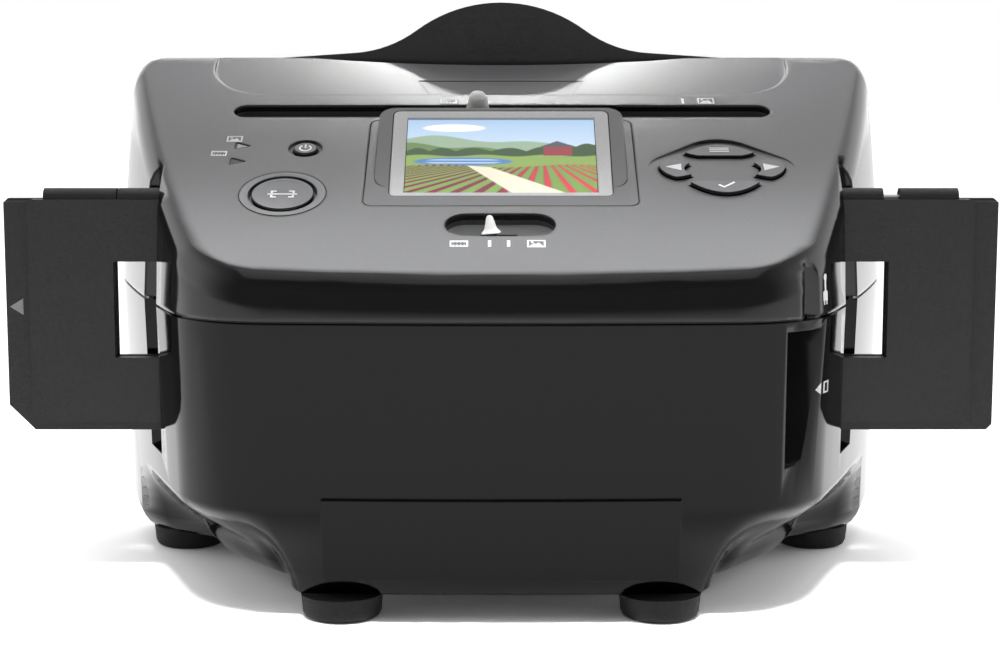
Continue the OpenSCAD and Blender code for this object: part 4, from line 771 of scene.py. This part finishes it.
class OBJECT_OT_scanner_signs(bpy.types.Operator):
    """Prints the plain signs on the panel, the keys, the ports and the film holder"""
    bl_idname = "scanner.signs"
    bl_label = "Print the signs"

    def execute(self, context):
        self.ink = context.scene.scanner_dress.ink / MM
        self.scan_and_power()
        self.keys()
        self.sliders()
        self.others()
        return {"FINISHED"}

    def printed(self, name, outlines, carry, body, height=0.0, finish="print"):
        """Outlines printed at a height of a flat place, which carry puts on the object."""
        vertices, faces = prisms(outlines, height - 0.01, height + self.ink)
        return mesh_object(name, carry(vertices), faces, materials[finish], body, limit=0)

    def scan_and_power(self):
        """The scan button's sign lies in its dish, on a plane just over the lowest face."""
        self.printed("scan_sign", scan_sign(6.2), lambda p: on_panel(p, *SCAN_AT),
                     body_of("scan_button"), -0.07)
        sign = [sector((0, -0.15), (1.25, 1.75), (125, 415), 40), bar(-0.22, -0.1, 0.22, 1.8)]
        self.printed("power_sign", sign, lambda p: on_panel(p, *POWER_AT), body_of("power_button"), 0.2)

    def keys(self):
        """Arrows on the side keys, three bars on the upper key and a tick on the lower one."""
        place = lambda p: on_panel(p, *PAD_AT)
        right = [(10.9, -2.6), (15.1, -0.65), (10.8, 0.95)]
        left = [(-x, y) for x, y in reversed(right)]
        self.printed("right_sign", [right], place, body_of("right_button"), KEY_TOP)
        self.printed("left_sign", [left], place, body_of("left_button"), KEY_TOP)
        bars = [bar(-2.6, y - 0.22, 2.6, y + 0.22) for y in (8.6, 9.5, 10.4)]
        self.printed("mode_sign", bars, place, body_of("mode_button"), 0.45)
        tick = [stroke((-1.8, -10.4), (-0.4, -11.7), 0.55), stroke((-0.6, -11.7), (2.4, -9.1), 0.55)]
        self.printed("enter_sign", tick, place, body_of("enter_button"), 1.2)

    def sliders(self):
        """Two ticks in front of the focus slot, one behind the light slot, and a film sign and a
        picture sign beside them and beside the two small windows."""
        place = lambda p: on_panel(p, 0, FOCUS_SLOT_Y)
        signs = [bar(x - 0.4, -10.6, x + 0.4, -7.7) for x in (-2.85, 1.9)]
        signs += film_sign(-10.5, -9.2, 4.6) + photo_sign(8.8, -9.2, 4.6)
        self.printed("focus_signs", signs, place, HOUSING)
        place = lambda p: on_panel(p, 0, LIGHT_SLOT_Y)
        signs = [bar(50.4, 4.6, 51.1, 7.6)]
        signs += film_sign(-14.6, 6.1, 4.6) + photo_sign(57.2, 6.1, 4.6)
        self.printed("light_signs", signs, place, HOUSING)
        signs = photo_sign(-72.0, 4.6, 4.2) + film_sign(-75.4, -3.4, 4.2)
        self.printed("window_signs", signs, lambda p: on_panel(p, 0, FRONT_Y + 60.0), HOUSING)
        self.printed("lit_window", [[(-1.3, -1.25), (1.35, -0.1), (-1.25, 1.15)]],
                     lambda p: on_panel(p, *LIT_WINDOW_AT), HOUSING, -0.19, "print_grey")

    def others(self):
        """An arrow on the holder's end that shows which way it goes in, a card's outline with an arrow
        beside the card socket, and a plug beside the other one."""
        arrow = [(-130.6, 73.6), (-127.0, 71.4), (-127.0, 75.8)]
        self.printed("holder_sign", [arrow], lambda p: on_front(p, HOLDER_FRONT_Y), "film_holder",
                     finish="print_grey")
        card = [[(-5.4, 0.0), (-2.3, -1.5), (-2.3, 1.5)]]
        card += frame_lines(-0.8, -1.5, 2.8, 1.5, 0.4) + [bar(-0.4, -1.1, 0.0, 1.1), bar(2.0, -1.1, 2.4, 1.1)]
        self.printed("card_sign", card, lambda p: on_corner(p, CARD_SIGN_AT, 0.028), HOUSING)
        plug = [bar(-2.8, -3.0, -0.2, -0.6), bar(-1.95, -0.6, -1.05, 2.2),
                sector((-1.5, 2.9), (0.01, 0.9), (0, 350)), bar(-2.5, -4.0, -1.9, -3.0),
                bar(-1.1, -4.0, -0.5, -3.0)]
        self.printed("plug_sign", plug, lambda p: on_corner(p, PLUG_SIGN_AT, -0.05), HOUSING)


class OBJECT_OT_scanner_grip_sign(bpy.types.Operator):
    """Moulds a picture's frame and an arrow that points down on the photo tray's grip"""
    bl_idname = "scanner.grip_sign"
    bl_label = "Mould the grip's sign"

    def execute(self, context):
        """Lines 0.5 mm wide that stand out of the grip's face, with nothing inside the frame but a
        low hill and a sun."""
        x, y, w, h, t = 0.5, 145.2, 19.0, 9.0, 0.55
        lines = frame_lines(x - w / 2, y - h / 2, x + w / 2, y + h / 2, t)
        lines.append([(x - 6, y - 2.6), (x + 6, y - 2.6), (x + 2.2, y + 0.6), (x - 0.2, y - 1.0),
                      (x - 2.0, y + 0.2)])
        lines.append(sector((x + 4.6, y + 1.8), (0.5, 1.0), (0, 359), 24))
        lines.append([(x - 4.6, 139.9), (x, 136.9), (x + 4.6, 139.9)])
        vertices, faces = prisms(lines, -0.01, context.scene.scanner_dress.emboss / MM)
        mesh_object("grip_sign", on_front(vertices, TRAY_FRONT_Y), faces, materials["holder_black"],
                    body_of("photo_tray"), limit=0)
        return {"FINISHED"}


# ---- Stage ----

class SCENE_OT_scanner_stage(bpy.types.Operator):
    """Makes the white floor, the world, the lamps and the camera"""
    bl_idname = "scanner.stage"
    bl_label = "Set the studio"

    def execute(self, context):
        studio = context.scene.scanner_studio
        self.floor(studio)
        self.world(context.scene)
        self.lamp("overhead softbox", (0.0, 0.25, 1.25), (0, 0.05, 0.05), (1.5, 1.1), studio.lamp_power)
        self.lamp("front softbox", (0.0, -0.45, 0.85), (0, -0.03, 0.08), (0.9, 0.5), studio.fill_power)
        front = self.lamp("front strip", (0.0, -0.15, 0.36), (0, -0.054, 0.088), (0.22, 0.03),
                          studio.front_power, 20)
        front.visible_glossy = False  # no hard line on the panel's rounded front edge
        self.lamp("rear strip", (0.0, 0.42, 0.56), (0, 0.055, 0.125), (0.95, 0.03), studio.rear_power, 8)
        self.camera(context.scene, studio)
        context.scene.view_settings.view_transform = "Standard"
        return {"FINISHED"}

    def floor(self, studio):
        """A wide sheet that takes the shadow, and is lifted to white for the camera and for what
        mirrors or shows it."""
        half = 4.0
        corners = [(-half, -half, 0), (half, -half, 0), (half, half, 0), (-half, half, 0)]
        mesh = bpy.data.meshes.new("floor")
        mesh.from_pydata(corners, [], [(0, 1, 2, 3)])
        floor = bpy.data.objects.new("floor", mesh)
        bpy.context.scene.collection.objects.link(floor)
        material = bpy.data.materials.new("white studio sheet")
        material.use_nodes = True
        tree = material.node_tree
        tree.nodes.clear()
        ray = self.straight_rays(tree, "Is Camera Ray", "Is Glossy Ray", "Is Transmission Ray")
        sheet = add(tree, "ShaderNodeMixRGB", {"Fac": ray, "Color1": studio.floor_colour,
                                               "Color2": (1.75, 1.75, 1.75, 1.0)})
        matt = add(tree, "ShaderNodeBsdfDiffuse", {"Color": sheet.outputs[0]})
        seen = add(tree, "ShaderNodeMath", {0: ray, 1: 0.03}, operation="MULTIPLY")
        lift = add(tree, "ShaderNodeEmission", {"Strength": seen.outputs[0]})
        both = add(tree, "ShaderNodeAddShader", {0: matt.outputs[0], 1: lift.outputs[0]})
        add(tree, "ShaderNodeOutputMaterial", {"Surface": both.outputs[0]})
        mesh.materials.append(material)

    def world(self, scene):
        """White to the camera. It lights the object from all round, and less from the camera's side
        and from above, where the lamps are."""
        world = bpy.data.worlds.new("white studio")
        world.use_nodes = True
        tree = world.node_tree
        tree.nodes.clear()
        where = add(tree, "ShaderNodeTexCoord")
        parts = add(tree, "ShaderNodeSeparateXYZ", {"Vector": where.outputs["Generated"]})
        front = add(tree, "ShaderNodeMapRange", {"Value": parts.outputs["Y"], "From Min": -0.75,
                                                 "From Max": 0.05, "To Min": 0.17, "To Max": 1.5},
                    interpolation_type="SMOOTHSTEP")
        above = add(tree, "ShaderNodeMapRange", {"Value": parts.outputs["Z"], "From Min": 0.40,
                                                 "From Max": 0.80, "To Min": 1.0, "To Max": 0.40},
                    interpolation_type="SMOOTHSTEP")
        level = add(tree, "ShaderNodeMath", {0: front.outputs[0], 1: above.outputs[0]}, operation="MULTIPLY")
        lit = add(tree, "ShaderNodeBackground", {"Strength": level.outputs[0], "Color": linear("#ffffff")})
        white = add(tree, "ShaderNodeBackground", {"Strength": 1.0, "Color": linear("#ffffff")})
        ray = self.straight_rays(tree, "Is Camera Ray", "Is Transmission Ray")
        mix = add(tree, "ShaderNodeMixShader", {0: ray, 1: lit.outputs[0], 2: white.outputs[0]})
        add(tree, "ShaderNodeOutputWorld", {"Surface": mix.outputs[0]})
        scene.world = world

    def straight_rays(self, tree, *kinds):
        """1 for a ray of any of the kinds, and 0 for the others."""
        ray = add(tree, "ShaderNodeLightPath")
        seen = ray.outputs[kinds[0]]
        for kind in kinds[1:]:
            either = add(tree, "ShaderNodeMath", {0: seen, 1: ray.outputs[kind]}, operation="MAXIMUM")
            seen = either.outputs[0]
        return seen

    def lamp(self, name, place, target, size, power, spread=180):
        """An area lamp at place that looks at target. A small spread is a honeycomb in front of it."""
        data = bpy.data.lights.new(name, "AREA")
        data.shape = "RECTANGLE"
        data.size, data.size_y = size
        data.energy = power
        data.spread = math.radians(spread)
        lamp = bpy.data.objects.new(name, data)
        lamp.location = place
        lamp.visible_camera = False
        lamp.rotation_euler = (Vector(target) - Vector(place)).to_track_quat("-Z", "Y").to_euler()
        bpy.context.scene.collection.objects.link(lamp)
        return lamp

    def camera(self, scene, studio):
        """The photograph's view."""
        data = bpy.data.cameras.new("camera")
        data.sensor_width = 36.0
        data.lens = studio.focal_length
        camera = bpy.data.objects.new("camera", data)
        camera.location = (-0.25 * MM, -studio.camera_y, studio.camera_z)
        camera.rotation_euler = (math.radians(90) - studio.camera_pitch, 0, 0)
        scene.collection.objects.link(camera)
        scene.camera = camera


class VIEW3D_PT_scanner(bpy.types.Panel):
    """Lists the scanner's pieces and settings"""
    bl_idname = "VIEW3D_PT_scanner"
    bl_label = "Scanner"
    bl_space_type = "VIEW_3D"
    bl_region_type = "UI"
    bl_category = "Scanner"

    def draw(self, context):
        for group in (context.scene.scanner_studio, context.scene.scanner_dress):
            for key in group.bl_rna.properties.keys():
                if key not in ("rna_type", "name"):
                    self.layout.prop(group, key)
        for operator in OPERATORS:
            self.layout.operator(operator.bl_idname)


OPERATORS = (SCENE_OT_scanner_stage, OBJECT_OT_scanner_finish_nodes, OBJECT_OT_scanner_picture,
             OBJECT_OT_scanner_scan_button, OBJECT_OT_scanner_levers, OBJECT_OT_scanner_signs,
             OBJECT_OT_scanner_grip_sign)
CLASSES = (ScannerStudio, ScannerDress, *OPERATORS, VIEW3D_PT_scanner)


def register():
    """Registers the classes and their settings."""
    for entry in CLASSES:
        bpy.utils.register_class(entry)
    bpy.types.Scene.scanner_studio = bpy.props.PointerProperty(type=ScannerStudio)
    bpy.types.Scene.scanner_dress = bpy.props.PointerProperty(type=ScannerDress)


def unregister():
    """Takes the classes and their settings away again."""
    del bpy.types.Scene.scanner_dress
    del bpy.types.Scene.scanner_studio
    for entry in reversed(CLASSES):
        bpy.utils.unregister_class(entry)


def main():
    """Makes the scene: the camera and studio first, then every piece in turn."""
    register()
    materials.update(make_materials())
    bpy.ops.scanner.stage()
    bpy.ops.scanner.finish_nodes()
    bpy.ops.scanner.picture()
    bpy.ops.scanner.scan_button()
    bpy.ops.scanner.levers()
    bpy.ops.scanner.signs()
    bpy.ops.scanner.grip_sign()
    bpy.context.view_layer.update()


if __name__ == "__main__":
    main()
